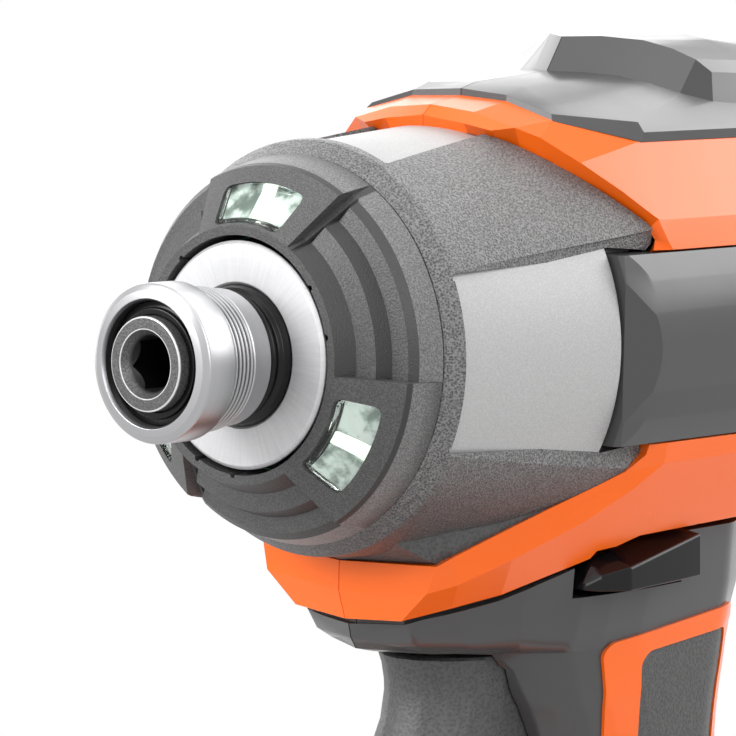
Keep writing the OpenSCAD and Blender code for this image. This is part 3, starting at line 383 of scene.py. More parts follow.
@dataclass(frozen=True)
class Stepped(Grained):
    """Moulded steps with painted light on their treads and painted shade on their risers."""

    # Share of the colour in the painted shade on the risers
    riser_shade: float = 0.4
    rim: float = 2.5

    def shade(self, tree: Tree, height: Wire) -> bpy.types.NodeSocket:
        """Args:
            tree: The material's tree.
            height: The relief.

        Returns:
            The socket of a colour that follows how far the surface faces forward: painted light on a tread,
            painted shade on the cones between treads, and a paler grain on the rim's cone.
        """
        ahead = tree.facing(Axis.X)
        tread = (ahead.mapped(0.62, 0.8) + ahead.mapped(0.31, 0.34, 1.0, 0.0)).clamped()
        dark = tuple(c * self.riser_shade for c in self.colour)
        stepped = tree.blend(tread, dark, super().shade(tree, height))
        band = (ahead.mapped(0.2, 0.27) - ahead.mapped(0.32, 0.35)).clamped()
        return tree.blend(band, stepped, self.speckled(tree, height, self.rim))


@dataclass(frozen=True)
class Blackened(Grained):
    """Grained steel that is black inside the bit socket, with painted highlights on two edges of its front.
    """

    bore: Flat = (0.0036, 0.004)
    front: Flat = (0.0918, 0.092)
    black: Colour = (0.003, 0.003, 0.003)
    # Colour of the painted highlights on the front edges
    bright: Colour = (0.62, 0.62, 0.62)
    # Radii of the front edges that carry a painted highlight, with the half width of each
    highlight_rings: tuple[Flat, ...] = ((0.00612, 0.00007), (0.00457, 0.00005))

    def shade(self, tree: Tree, height: Wire) -> bpy.types.NodeSocket:
        """Args:
            tree: The material's tree.
            height: The relief.

        Returns:
            The socket of a colour that is black in the bore, with painted highlights on the front edges.
        """
        radius, along = tree.polar()[1:]
        shade = tree.blend(radius.mapped(*self.bore, 1.0, 0.0), super().shade(tree, height), self.black)
        front = along.mapped(*self.front)
        # Painted highlights on the edges of the front face
        for place, half in self.highlight_rings:
            ring = (radius - place).maths("ABSOLUTE").mapped(half, half * 2, 1.0, 0.0)
            shade = tree.blend(ring * front, shade, self.bright)
        return shade


@dataclass(frozen=True)
class Turned(Finish):
    """Metal turned on a lathe: fine rings about the spindle."""

    rings: float = 9000.0

    def height(self, tree: Tree) -> Wire:
        """Rings that waver a little on their way round."""
        angle, radius, along = tree.polar()
        return tree.noise(1.0, 2.0, tree.point(radius * self.rings, along * self.rings, angle * 1.2))

    def shade(self, tree: Tree, height: Wire) -> bpy.types.NodeSocket:
        """Darker in the rings."""
        return tree.blend(height.mapped(0.3, 0.7), *self.tints(self.wander))


@dataclass(frozen=True)
class Grooved(Turned):
    """Turned metal with painted shade at the bottom of its grooves."""

    # Radii and places along the spindle that the grooves lie between, and the bore's edge
    depths: Flat = (0.0093, 0.0096)
    ends: Flat = (0.0815, 0.0859)
    bore: Flat = (0.0088, 0.009)
    fade: float = 0.0002
    # Colour of the painted shade in the grooves
    groove_shade: Colour = (0.02, 0.02, 0.02)

    def shade(self, tree: Tree, height: Wire) -> bpy.types.NodeSocket:
        """Args:
            tree: The material's tree.
            height: The relief.

        Returns:
            The socket of a colour with painted shade in the grooves.
        """
        radius, along = tree.polar()[1:]
        low, high = self.ends
        inside = along.mapped(low, low + self.fade) * along.mapped(high - self.fade, high, 1.0, 0.0)
        deep = radius.mapped(*self.depths, 1.0, 0.0) * inside * radius.mapped(*self.bore)
        return tree.blend(deep.clamped(), super().shade(tree, height), self.groove_shade)


@dataclass(frozen=True)
class Brushed(Turned):
    """A face with soft streaks that run out from the spindle."""

    streaks: float = 26.0
    length: float = 160.0

    def height(self, tree: Tree) -> Wire:
        """Args:
            tree: The material's tree.

        Returns:
            Streaks over faint rings.
        """
        angle, radius, along = tree.polar()
        fine = tree.noise(1.0, 3.0, tree.point(angle * self.streaks, radius * self.length, along))
        rings = tree.noise(1.0, 2.0, tree.point(radius * self.rings, along * self.rings, angle * 2.0))
        return (fine * 0.65 + rings * 0.35).clamped()


@dataclass(frozen=True)
class Clear(Finish):
    """Clear plastic with a faint tint."""

    bend: float = 1.46

    def inputs(self, tree: Tree) -> dict:
        """The shader's inputs, with light let through."""
        clear = {"Transmission Weight": 1.0, "IOR": self.bend, "Roughness": self.roughness}
        return super().inputs(tree) | clear


@dataclass(frozen=True)
class Patched(Finish):
    """A lamp's bowl with soft white patches of painted reflection in it."""

    glare: Colour = (0.92, 1.0, 0.95)

    def shade(self, tree: Tree, height: Wire) -> bpy.types.NodeSocket:
        """Soft white patches of painted reflection."""
        return tree.blend(tree.noise(330.0, 3.0).mapped(0.38, 0.58), self.colour, self.glare)


@dataclass(frozen=True)
class Glowing(Finish):
    """A face behind a lens with a painted glow that stands in for the glare in the lens."""

    power: float = 1.0
    core: Colour = (1.0, 1.0, 0.97)

    def inputs(self, tree: Tree) -> dict:
        """The shader's inputs, with a patchy painted glow."""
        glow = tree.blend(tree.noise(300.0, 1.0).mapped(0.35, 0.6), self.colour, self.core)
        return super().inputs(tree) | {"Emission Color": glow, "Emission Strength": self.power}


FINISHES = {
    finish.name: finish
    for finish in (
        Finish("orange_case", (1.0, 0.145, 0.004), 0.25, specular=0.45, relief=0.000002, wander=0.03),
        Finish("grey_skin", (0.058, 0.058, 0.059), 0.24, relief=0.000003, wander=0.05),
        Grained("case_metal", (0.43, 0.43, 0.43), 0.48, 0.05, grain=0.00018, relief=0.00002, pits=0.10),
        Brushed("nose_face", (0.60, 0.60, 0.61), 0.5, 0.5, wander=0.06, relief=0.0000015),
        Shadowed(
            "cover_grey", (0.14, 0.14, 0.14), 0.36, specular=0.35, grain=0.00024, relief=0.00020, pits=0.65
        ),
        Stepped("nose_grey", (0.056, 0.056, 0.056), 0.44, grain=0.0002, relief=0.00008, pits=0.45),
        Clear("lens", (0.93, 0.98, 0.95), 0.03, relief=0.0, wander=0.0),
        Patched("reflector", (0.16, 0.22, 0.185), 0.2, grain=0.0016, relief=0.00008, coat=1.0),
        Glowing("lamp", (0.85, 0.95, 0.82), 0.3, power=0.8),
        Patched("gauge_lens", (0.05, 0.09, 0.06), 0.15, grain=0.002, coat=1.0, glare=(0.16, 0.22, 0.17)),
        Finish("board", (0.02, 0.16, 0.07), 0.35),
        Grooved("sleeve_metal", (0.42, 0.42, 0.43), 0.34, 1.0, wander=0.03, relief=0.000002),
        Blackened("tool_steel", (0.085, 0.085, 0.085), 0.4, 0.35, grain=0.00018, relief=0.00004, pits=0.5),
        Turned("bright_steel", (0.60, 0.60, 0.61), 0.24, 1.0, wander=0.04),
        Finish("spring_steel", (0.45, 0.46, 0.48), 0.3, 1.0),
        Finish("seal", (0.003, 0.003, 0.003), 0.24, relief=0.000002, specular=0.25),
        Turned("bronze", (0.50, 0.32, 0.14), 0.35, 1.0),
        Finish("plate", (0.10, 0.10, 0.11), 0.5),
        Turned("laminations", (0.26, 0.26, 0.28), 0.4, 0.9),
        Finish("copper", (0.68, 0.26, 0.11), 0.3, 1.0, wander=0.15),
        Finish("white_plastic", (0.72, 0.71, 0.67), 0.45),
        Finish("fan_black", (0.02, 0.02, 0.022), 0.45),
        Finish("lead_red", (0.5, 0.02, 0.015), 0.4),
        Finish("control_black", (0.004, 0.004, 0.005), 0.16, relief=0.000001, specular=0.28),
        Grained("trigger_grey", (0.06, 0.06, 0.06), 0.5, grain=0.0004, relief=0.00009, pits=0.3),
        Finish("contact", (0.80, 0.58, 0.22), 0.25, 1.0),
        Grained("pack_black", (0.018, 0.018, 0.019), 0.5, grain=0.0005, relief=0.00003, pits=0.2),
        Grained("pack_grey", (0.055, 0.055, 0.057), 0.5, grain=0.0005, relief=0.00003, pits=0.2),
        Finish("cell_wrap", (0.03, 0.12, 0.35), 0.35),
        Finish("hook_steel", (0.5, 0.5, 0.51), 0.28, 1.0),
        Finish("screw_steel", (0.10, 0.10, 0.105), 0.35, 0.9),
    )
}


# Outlines


def filleted(
    points: Sequence[Flat], radius: float | Sequence[float], steps: int = 4, closed: bool = False
) -> list[Flat]:
    """Args:
        points: Corners of an outline or profile.
        radius: Radius at every corner, or one for each.
        steps: Pieces in each arc.
        closed: Whether the last point joins the first.

    Returns:
        The outline with its corners rounded.
    """
    count = len(points)
    radii = [radius] * count if isinstance(radius, (int, float)) else list(radius)
    result: list[Flat] = []
    for i, corner in enumerate(points):
        if radii[i] <= 0 or (not closed and i in (0, count - 1)):
            result.append(tuple(corner))
            continue
        here = Vector(corner)
        before = Vector(points[i - 1]) - here
        after = Vector(points[(i + 1) % count]) - here
        turn = before.angle(after)
        reach = min(radii[i] / math.tan(turn / 2), before.length * 0.45, after.length * 0.45)
        start, end = here + before.normalized() * reach, here + after.normalized() * reach
        for k in range(steps + 1):
            t = k / steps
            bend = start * (1 - t) ** 2 + here * (2 * t * (1 - t)) + end * t * t
            result.append((bend.x, bend.y))
    return result


def level(table: Sequence[Sequence[float]], key: float) -> list[float]:
    """Args:
        table: Rows that start with a key, in any order.
        key: Place between the rows.

    Returns:
        The other columns there, joined by straight lines.
    """
    rows = sorted(table, key=lambda row: row[0])
    if key <= rows[0][0]:
        return list(rows[0][1:])
    for low, high in zip(rows, rows[1:]):
        if key <= high[0]:
            t = (key - low[0]) / (high[0] - low[0])
            return [a + (b - a) * t for a, b in zip(low[1:], high[1:])]
    return list(rows[-1][1:])


def eased(table: Sequence[Sequence[float]], key: float, reach: float) -> list[float]:
    """The table's columns averaged about a key, which rounds its corners."""
    rows = [level(table, key + reach * t) for t in (-1.0, -0.5, 0.0, 0.5, 1.0)]
    return [sum(column) / len(column) for column in zip(*rows)]


class Shape:
    """Mesh code for one piece, in millimetres in the spindle's frame."""

    def __init__(self) -> None:
        """Starts with an empty mesh."""
        self.mesh = bmesh.new()

    def ring(self, points: Iterable[Sequence[float]]) -> list[bmesh.types.BMVert]:
        """New vertices at these places."""
        return [self.mesh.verts.new(p) for p in points]

    def bridge(self, a: list, b: list) -> None:
        """Args:
        a: First ring of vertices.
        b: Second ring, with as many.
        """
        count = len(a)
        for i in range(count):
            j = (i + 1) % count
            corners = list(dict.fromkeys((a[i], a[j], b[j], b[i])))
            if len(corners) > 2:
                self.mesh.faces.new(corners)

    def turned(
        self, profile: Sequence[Flat], steps: int = 192, about: Axis = Axis.X, at: Point = (0.0, 0.0, 0.0)
    ) -> "Shape":
        """Args:
            profile: A closed profile of (place along the axis, radius).
            steps: Sides round the axis.
            about: The axis.
            at: A point that it runs through.

        Returns:
            The shape, with the turned solid added.
        """
        turns = [2 * math.pi * k / steps for k in range(steps)]

        def placed(along: float, a: float, b: float) -> Vector:
            """A point with its place along the axis put in."""
            values = [a, b]
            values.insert(about.value, along)
            return Vector(values) + Vector(at)

        rings = [
            self.ring([placed(x, 0.0, 0.0)]) * steps
            if r < 1e-6
            else self.ring(placed(x, r * math.cos(t), r * math.sin(t)) for t in turns)
            for x, r in profile
        ]
        for a, b in zip(rings, rings[1:] + rings[:1]):
            self.bridge(a, b)
        return self

    def loft(self, sections: Sequence[Sequence[Point]]) -> "Shape":
        """Args:
            sections: Closed outlines with as many points each.

        Returns:
            The shape, with the loft added.
        """
        rings = [self.ring(s) for s in sections]
        for a, b in zip(rings, rings[1:]):
            self.bridge(a, b)
        self.mesh.faces.new(rings[0])
        self.mesh.faces.new(reversed(rings[-1]))
        return self

    def prism(self, outline: Sequence[Flat], axis: Axis, low: float, high: float) -> "Shape":
        """Args:
            outline: Closed outline in the two other axes, in their order.
            axis: Direction that the outline is carried along.
            low: Where it starts.
            high: Where it ends.

        Returns:
            The shape, with the prism added.
        """

        def lifted(flat: Flat, along: float) -> Point:
            """A point of the outline, carried along the axis."""
            values = list(flat)
            values.insert(axis.value, along)
            return tuple(values)

        return self.loft([[lifted(p, at) for p in outline] for at in (low, high)])

    def panels(self, points: dict[str, Point], faces: Sequence[str]) -> "Shape":
        """Args:
            points: Corners by name.
            faces: Names of each panel's corners, parted by spaces.

        Returns:
            The shape, with the panels added.
        """
        used = {name: self.mesh.verts.new(place) for name, place in points.items()}
        for face in faces:
            self.mesh.faces.new([used[name] for name in face.split()])
        return self

    def mapped(self, change: Callable[[Vector], Vector]) -> "Shape":
        """Args:
            change: Gives each vertex its new place.

        Returns:
            The shape.
        """
        for vertex in self.mesh.verts:
            vertex.co = change(vertex.co.copy())
        return self

    def made(self, name: str) -> bpy.types.Object:
        """Args:
            name: The piece's name.

        Returns:
            The object, in metres in the part's frame.
        """
        bmesh.ops.remove_doubles(self.mesh, verts=self.mesh.verts[:], dist=0.002)
        bmesh.ops.dissolve_degenerate(self.mesh, edges=self.mesh.edges[:], dist=0.001)
        bmesh.ops.recalc_face_normals(self.mesh, faces=self.mesh.faces[:])
        to_part = Matrix.Scale(MM, 4) @ Matrix.Translation(SPINDLE)
        bmesh.ops.transform(self.mesh, matrix=to_part, verts=self.mesh.verts[:])
        data = bpy.data.meshes.new(name)
        self.mesh.to_mesh(data)
        self.mesh.free()
        made = bpy.data.objects.new(name, data)
        bpy.context.scene.collection.objects.link(made)
        return made


def rectangle(left: float, right: float, low: float, high: float) -> list[Flat]:
    """The corners of a rectangle, from the lower left one round."""
    return [(left, low), (right, low), (right, high), (left, high)]


def rod(radius: float, about: Axis, at: Point, low: float, high: float, steps: int = 48) -> Shape:
    """A rod about an axis through a point, or a block if it has few sides."""
    return Shape().turned([(low, 0.0), (low, radius), (high, radius), (high, 0.0)], steps, about, at)


# A place beyond either side of the tool, where cutting blocks end
BESIDE = 40.0
# Radius of the wells that the housing's screws sit in
SCREW_HOLE = 3.3
# The two upper screws as (x, z, y of the head's seat)
CAP_SCREWS = ((-76.0, 29.8, -12.0), (-116.0, 28.9, -12.0))


def screw_wells(screws: Sequence[Point]) -> list[Shape]:
    """The wells in the right side for screws that are given as (x, z, y of the head's seat)."""
    return [rod(SCREW_HOLE, Axis.Y, (x, 0.0, z), -BESIDE, seat) for x, z, seat in screws]


def whole(half: Sequence[Flat]) -> list[Flat]:
    """The closed outline of a half that starts and ends in the middle."""
    return [*half, *((x, -y) for x, y in reversed(half[1:-1]))]


class Piece:
    """One named piece of the object, from its mesh to its finish."""

    finishes: dict[str, bpy.types.Material] = {}

    def __init__(self, name: str, shape: Shape) -> None:
        """Takes the piece's name and makes its object from the shape."""
        self.name = name
        self.thing = shape.made(name)

    def modified(self, kind: str, **settings: object) -> "Piece":
        """Args:
            kind: The modifier's type.
            settings: Its properties.

        Returns:
            The piece.
        """
        modifier = self.thing.modifiers.new(kind.title(), kind)
        for key, value in settings.items():
            setattr(modifier, key, value)
        return self

    def settled(self) -> "Piece":
        """Returns:
        The piece, with its modifiers worked into its mesh.
        """
        graph = bpy.context.evaluated_depsgraph_get()
        solid = bpy.data.meshes.new_from_object(self.thing.evaluated_get(graph))
        self.thing.modifiers.clear()
        self.thing.data = solid
        return self

    def combined(self, operation: str, others: Sequence[Shape]) -> "Piece":
        """Args:
            operation: DIFFERENCE, INTERSECT or UNION.
            others: The shapes that the piece is combined with.

        Returns:
            The piece.
        """
        tools = [shape.made(f"{self.name}_tool") for shape in others]
        for tool in tools:
            self.modified("BOOLEAN", operation=operation, object=tool, solver="EXACT")
        self.settled()
        for tool in tools:
            bpy.data.objects.remove(tool)
        return self

    def thickened(self, wall: float) -> "Piece":
        """Args:
            wall: Thickness that a sheet gets on its inner side, in millimetres.

        Returns:
            The piece.
        """
        data = self.thing.data
        outward = sum(
            f.normal.dot(f.center - Vector((f.center.x, 0, SPINDLE.z * MM))) * f.area for f in data.polygons
        )
        if outward < 0:
            data.flip_normals()
        self.modified("SOLIDIFY", thickness=wall * MM, offset=-1.0, use_even_offset=True)
        return self.settled()

    def mirrored(self, gap: float = 0.0) -> "Piece":
        """Args:
            gap: Width of the seam that is left between the halves, in millimetres.

        Returns:
            The piece and its mirror image as one mesh.
        """
        shape = bmesh.new()
        shape.from_mesh(self.thing.data)
        for vertex in shape.verts:
            vertex.co.y += gap * MM / 2
        twin = bmesh.ops.duplicate(shape, geom=shape.verts[:] + shape.edges[:] + shape.faces[:])["geom"]
        for vertex in (v for v in twin if isinstance(v, bmesh.types.BMVert)):
            vertex.co.y = -vertex.co.y
        bmesh.ops.reverse_faces(shape, faces=[f for f in twin if isinstance(f, bmesh.types.BMFace)])
        shape.to_mesh(self.thing.data)
        shape.free()
        return self

    def eased(self, width: float, angle: float = 30.0, segments: int = 2) -> "Piece":
        """Args:
            width: Width of the bevel on edges, in millimetres.
            angle: Edges sharper than this are bevelled, in degrees.
            segments: Facets of the bevel.

        Returns:
            The piece, shaded smooth.
        """
        data = self.thing.data
        data.polygons.foreach_set("use_smooth", [True] * len(data.polygons))
        if width > 0:
            self.modified(
                "BEVEL",
                width=width * MM,
                segments=segments,
                limit_method="ANGLE",
                angle_limit=math.radians(angle),
                harden_normals=True,
                miter_outer="MITER_ARC",
            )
        else:
            data.set_sharp_from_angle(angle=math.radians(angle))
        return self

    def dressed(
        self, finish: str, body: Body, nodes: Sequence[str] = (), slot: str | None = None
    ) -> bpy.types.Object:
        """Args:
            finish: Key of the finish.
            body: The body that it rides on.
            nodes: CAD nodes that it stands for.
            slot: Material slot in the record; it is not used.

        Returns:
            The object.
        """
        self.thing.data.materials.clear()
        self.thing.data.materials.append(material(finish))
        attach(self.thing, body.value)
        if nodes:
            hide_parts(*nodes)
        LOG.info("%s: %d faces, %s", self.name, len(self.thing.data.polygons), finish)
        return self.thing


def material(key: str) -> bpy.types.Material:
    """Args:
        key: Key of a finish.

    Returns:
        Its material, made on first use.
    """
    if key not in Piece.finishes:
        Piece.finishes[key] = FINISHES[key].made()
    return Piece.finishes[key]


# Chuck and hammer case


@dataclass(frozen=True)
class Ring:
    """A black ring on the anvil, turned from a profile with rounded corners."""

    name: str
    node: str
    slot: str
    profile: tuple[Flat, ...]
    radii: float | tuple[float, ...]
    arc: int = 3
    sides: int = 128
    sharp: float = 40.0

    def build(self) -> None:
        """Builds the ring."""
        outline = filleted(self.profile, self.radii, self.arc, closed=True)
        ring = Piece(self.name, Shape().turned(outline, self.sides))
        ring.eased(0, self.sharp).dressed("seal", Body.ANVIL, [self.node], self.slot)


@dataclass(frozen=True)
class Chuck:
    """The sliding sleeve, the anvil with its bit socket and the rings between them."""

    # The sleeve's rim as (place along the spindle, radius), and both ends of the step behind its band
    rim: tuple[Flat, ...] = ((0.75, 8.5), (0.55, 9.55))
    band: Flat = (-4.75, -5.0)
    # The fine grooves: start, number, spacing, the flat and the slope of each, depth
    groove_x: float = -5.15
    grooves: int = 6
    groove_step: float = 0.72
    groove_flat: float = 0.25
    groove_slope: float = 0.2
    groove_depth: float = 0.42
    # The skirt's places along the spindle, from its front edge back
    skirt: Box = (-9.6, -9.95, -12.9, -13.3)
    # The bore's front end and radius, and the same of the stop behind it
    bore: Flat = (0.2, 8.2)
    stop: Flat = (-9.8, 6.4)
    root_x: float = -35.0
    # Tip of the socket's countersink and a place in front of the anvil
    sink_x: float = -5.71
    clear_x: float = 2.4
    # The retaining ring and its cup in the sleeve's mouth, and the rubber ring at the nose
    rings: tuple[Ring, ...] = (
        Ring(
            "snap_wire", "snap_ring", "spring_steel",
            ((-0.8, 7.25), (-0.8, 6.3), (-0.3, 6.3), (-0.3, 7.25)), 0.2,
        ),
        Ring(
            "cup", "spring_cup", "spring_steel",
            ((-0.85, 6.35), (-0.7, 7.4), (-1.0, 8.1), (-1.9, 8.1), (-1.9, 6.35)), 0.12,
        ),
        Ring(
            "bumper", "bumper_ring", "seal",
            ((-13.6, 6.35), (-13.6, 7.9), (-14.2, 8.7), (-15.0, 8.5), (-15.4, 9.05), (-16.4, 9.45),
             (-16.9, 9.45), (-16.9, 6.35)),
            (0.1, 0.4, 0.3, 0.25, 0.3, 0.3, 0.1, 0.1), 4, 192, 60.0,
        ),
    )

    def sleeve(self) -> None:
        """The turned sleeve with its fine grooves."""
        profile = [*self.rim, (0.0, S.sleeve_r), (self.band[0], S.sleeve_r), (self.band[1], S.grip_r)]
        radii = [0.12, 0.2, 0.45, 0.2, 0.05]
        for groove in range(self.grooves):
            x = self.groove_x - groove * self.groove_step
            flat, root = x - self.groove_flat, x - (self.groove_flat + self.groove_slope)
            profile += [(x, S.grip_r), (flat, S.grip_r), (root, S.grip_r - self.groove_depth)]
            radii += [0.1, 0.1, 0.08]
        edge, start, end, rear = self.skirt
        profile += [(edge, S.grip_r - 0.1), (start, S.skirt_r), (end, S.skirt_r), (rear, S.skirt_r - 0.4)]
        radii += [0.1, 0.1, 0.2, 0.0]
        stop_x, stop_r = self.stop
        profile += [(rear, stop_r), (stop_x, stop_r), (stop_x, self.bore[1]), self.bore]
        radii += [0.0, 0.0, 0.0, 0.2]
        shape = Shape().turned(filleted(profile, radii, 4, closed=True), 256)
        Piece("sleeve", shape).eased(0, 40).dressed("sleeve_metal", Body.SLEEVE, ["chuck_sleeve"])

    def anvil(self) -> None:
        """The anvil with a countersunk hexagon socket."""
        rear, front = self.root_x, S.anvil_proud
        body = filleted([(rear, 0.0), (rear, S.anvil_r), (front, S.anvil_r), (front, 0.0)], [0, 0, 0.3, 0], 4)
        corner = S.hex_af / math.sqrt(3)
        turns = [math.radians(S.hex_turn + 60 * k) for k in range(6)]
        hexagon = [(corner * math.cos(t), corner * math.sin(t)) for t in turns]
        clear = self.clear_x
        mouth = [(self.sink_x, 0.0), (front + 0.02, S.mouth_r), (clear, S.mouth_r + 0.4), (clear, 0.0)]
        cuts = [
            Shape().prism(filleted(hexagon, 0.3, 3, closed=True), Axis.X, front - S.hex_depth, 2.0),
            Shape().turned(mouth, 192),
        ]
        anvil = Piece("anvil_body", Shape().turned(body, 192)).combined("DIFFERENCE", cuts)
        anvil.eased(0, 24).dressed("tool_steel", Body.ANVIL, ["anvil"])

    def build(self) -> None:
        """Builds the pieces."""
        self.sleeve()
        self.anvil()
        for ring in self.rings:
            ring.build()


@dataclass(frozen=True)
class HammerCase:
    """The bright ring at the nose and the cast cone that shows in the cover's windows."""

    washer_bore: float = 9.45
    washer_back: float = -17.1
    # The cone's nose as (place along the spindle, radius), and its bore's front end
    nose: tuple[Flat, ...] = ((-25.0, 20.0), (-27.4, 24.2), (-28.6, 26.6))
    nose_bore: Flat = (-25.0, 18.0)
    lip_r: float = 27.6
    inner_r: float = 23.6
    rear_x: float = -68.2

    def build(self) -> None:
        """Builds the pieces."""
        front, rim = S.nose_face_x, S.nose_face_r
        washer = [
            (front - 0.3, self.washer_bore), (front, self.washer_bore + 0.3), (front, rim - 0.5),
            (front - 0.45, rim), (self.washer_back, rim), (self.washer_back, self.washer_bore),
        ]
        shape = Shape().turned(filleted(washer, 0.15, 4, closed=True), 256)
        Piece("nose_washer", shape).eased(0, 40).dressed("nose_face", Body.HOUSING, (), "case_metal")
        cone = [
            *self.nose, (S.window_x, S.case_front_r), (S.belly_x + 0.2, S.case_rear_r),
            (S.belly_x + 0.2, self.lip_r), (self.rear_x, self.lip_r), (self.rear_x, self.inner_r),
            self.nose_bore,
        ]
        shape = Shape().turned(filleted(cone, [0, 0, 0.6, 0.8, 0.5, 0, 0, 0, 0], 4, closed=True), 256)
        Piece("case_cone", shape).eased(0, 40).dressed("case_metal", Body.HOUSING, ["hammer_case"])


# Nose cap


def height_at(profile: Sequence[Flat], radius: float) -> float:
    """Args:
        profile: Rising radii with their places along the spindle.
        radius: Distance from the spindle.

    Returns:
        The place along the spindle there.
    """
    for (r0, x0), (r1, x1) in zip(profile, profile[1:]):
        if radius <= r1:
            return x0 + (x1 - x0) * (radius - r0) / max(r1 - r0, 1e-6)
    return profile[-1][1]


def round_place(radius: float, degrees: float) -> Flat:
    """The place across the spindle at a radius and an angle in degrees."""
    turn = math.radians(degrees)
    return radius * math.cos(turn), radius * math.sin(turn)


def curved_block(
    mid: float, half: float, inner: float, outer: float, low: float, high: float, corner: float
) -> Shape:
    """Args:
        mid: Middle angle in degrees.
        half: Half angle.
        inner: Inner radius.
        outer: Outer radius.
        low: Back end along the spindle.
        high: Front end.
        corner: Radius of the corners.

    Returns:
        A block with a curved inner and outer side.
    """
    # The pieces next to a corner are left out, as its arc reaches half of the piece beside it
    arc = [-half + 2 * half * k / 16 for k in range(17) if k not in (1, 2, 14, 15)]
    edge = [round_place(outer, mid + a) for a in arc] + [round_place(inner, mid + a) for a in reversed(arc)]
    last = len(arc) - 1
    radii = [corner if k in (0, last, last + 1, 2 * last + 1) else 0.0 for k in range(len(edge))]
    return Shape().prism(filleted(edge, radii, 5, closed=True), Axis.X, low, high)


@dataclass(frozen=True)
class Nose:
    """The nose cap with its steps and three lamp blocks, each with a window and a lens."""

    # Radius and place along the spindle
    steps: tuple[Flat, ...] = (
        (15.85, -17.6), (15.95, -16.2), (17.2, -16.2), (18.6, -18.9), (21.1, -19.9), (22.0, -22.1),
        (24.2, -22.75), (25.16, -23.85), (26.25, -27.3), (26.25, -27.4),
    )
    block: tuple[Flat, ...] = (
        (15.85, -17.6), (15.95, -16.2), (17.2, -16.2), (24.9, -21.9), (25.3, -22.9), (26.25, -27.3),
        (26.25, -27.4),
    )
    trench_floor: tuple[Flat, ...] = (
        (15.0, -17.2), (17.2, -17.2), (25.16, -24.6), (26.25, -27.3), (26.25, -27.4)
    )
    back: tuple[Flat, ...] = ((-27.4, 24.9), (-24.8, 22.6), (-22.9, 21.4), (-22.9, 15.85))
    mids: tuple[float, ...] = (-32.0, 88.0, 208.0)
    half: float = 27.5
    trench: float = 2.7
    chamfer: float = 1.7
    # Ends of the blocks that have a trench
    trench_ends: tuple[float, ...] = (60.5, 115.5, 235.5)
    notches: tuple[float, ...] = (131.0, 38.0, 13.0, 244.0, 268.0)
    # Half angle, inner and outer radius of a window and of the lens in it
    window: Point = (18.4, 17.55, 22.75)
    lens_form: Point = (18.1, 17.68, 22.62)
    # Angles that a lamp's reflectors lie between
    reflectors: tuple[Flat, ...] = ((-18.0, -3.4), (-3.0, 3.0), (3.4, 18.0))
    lens_tilt: float = 0.0125
    notch_place: float = 16.0
    notch_r: float = 0.42

    def turns(self) -> list[float]:
        """Returns:
        The angles of the cap's grid lines, with one at each edge.
        """
        found: list[float] = []
        for mid in self.mids:
            low, high = mid - self.half, mid + self.half
            end = low + 120.0
            found += [low + (high - low) * k / 18 for k in range(19)]
            inner = high + self.trench + self.chamfer
            outer = end - self.trench - self.chamfer
            found += [high + 0.2, high + self.trench - 0.2, high + self.trench]
            found += [inner + (outer - inner) * k / 22 for k in range(23)]
            found += [end - self.trench, end - self.trench + 0.2, end - 0.2]
        return found

    def surface(self, turn: float, radius: float) -> float:
        """Args:
            turn: Angle about the spindle in degrees.
            radius: Distance from it.

        Returns:
            The front face's place along the spindle.
        """
        away = min(abs((turn - mid + 180) % 360 - 180) for mid in self.mids) - self.half
        if away <= 0.01:
            return height_at(self.block, radius)
        step = height_at(self.steps, radius)
        beside = min(abs((turn - end + 180) % 360 - 180) for end in self.trench_ends)
        if radius < 17.3 or radius > 25.5 or beside >= self.trench + self.chamfer - 0.01:
            return step
        if beside < self.trench - 0.01:
            return height_at(self.trench_floor, radius)
        return step - 0.75

    def cap(self) -> None:
        """The cap as one solid with its windows."""
        radii = sorted({r for r, _ in self.steps + self.block} | {16.6, 19.8})
        turns = self.turns()
        rows = [[(self.surface(t, r), *round_place(r, t)) for t in turns] for r in radii]
        rows += [[(x, *round_place(r, t)) for t in turns] for x, r in self.back]
        shape = Shape()
        rings = [shape.ring(row) for row in rows]
        for a, b in zip(rings, rings[1:] + rings[:1]):
            shape.bridge(a, b)
        cuts = [curved_block(mid, *self.window, -26.0, -14.0, 1.1) for mid in self.mids]
        for angle in self.notches:
            y, z = round_place(self.notch_place, angle)
            turns = [math.pi * k / 7 for k in range(14)]
            dent = [(y + self.notch_r * math.cos(turn), z + self.notch_r * math.sin(turn)) for turn in turns]
            cuts.append(Shape().prism(dent, Axis.X, -18.5, -15.0))
        cap = Piece("cap_shell", shape).combined("DIFFERENCE", cuts)
        cap.eased(0.13, 14, 2).dressed("nose_grey", Body.HOUSING, ["nose_cap"])

    def lens(self, index: int) -> None:
        """Args:
        index: Which of the lamps.
        """
        mid = self.mids[index]
        (_, _), (_, _), (r0, x0), (r1, x1) = self.block[:4]

        def leaned(place: Vector) -> Vector:
            """A point moved on to the slope of the block."""
            radius = math.hypot(place.y, place.z)
            return Vector((x0 - 0.3 + (radius - r0) * (x1 - x0) / (r1 - r0) + place.x, place.y, place.z))

        shape = curved_block(mid, *self.lens_form, -1.5, 0.0, 1.0).mapped(leaned)
        Piece(f"lens_{index}", shape).eased(0.3, 40, 3).dressed(
            "lens", Body.HOUSING, ["led_lenses"] if index == 0 else ()
        )
        for side, (low, high) in enumerate(self.reflectors):
            middle = mid + (low + high) / 2

            def tilted(place: Vector, middle: float = middle, share: int = side - 1) -> Vector:
                """A point on the slope, turned a little towards the middle."""
                turn = math.degrees(math.atan2(place.z, place.y)) - middle
                return leaned(place) + Vector((self.lens_tilt * share * ((turn + 180) % 360 - 180), 0, 0))

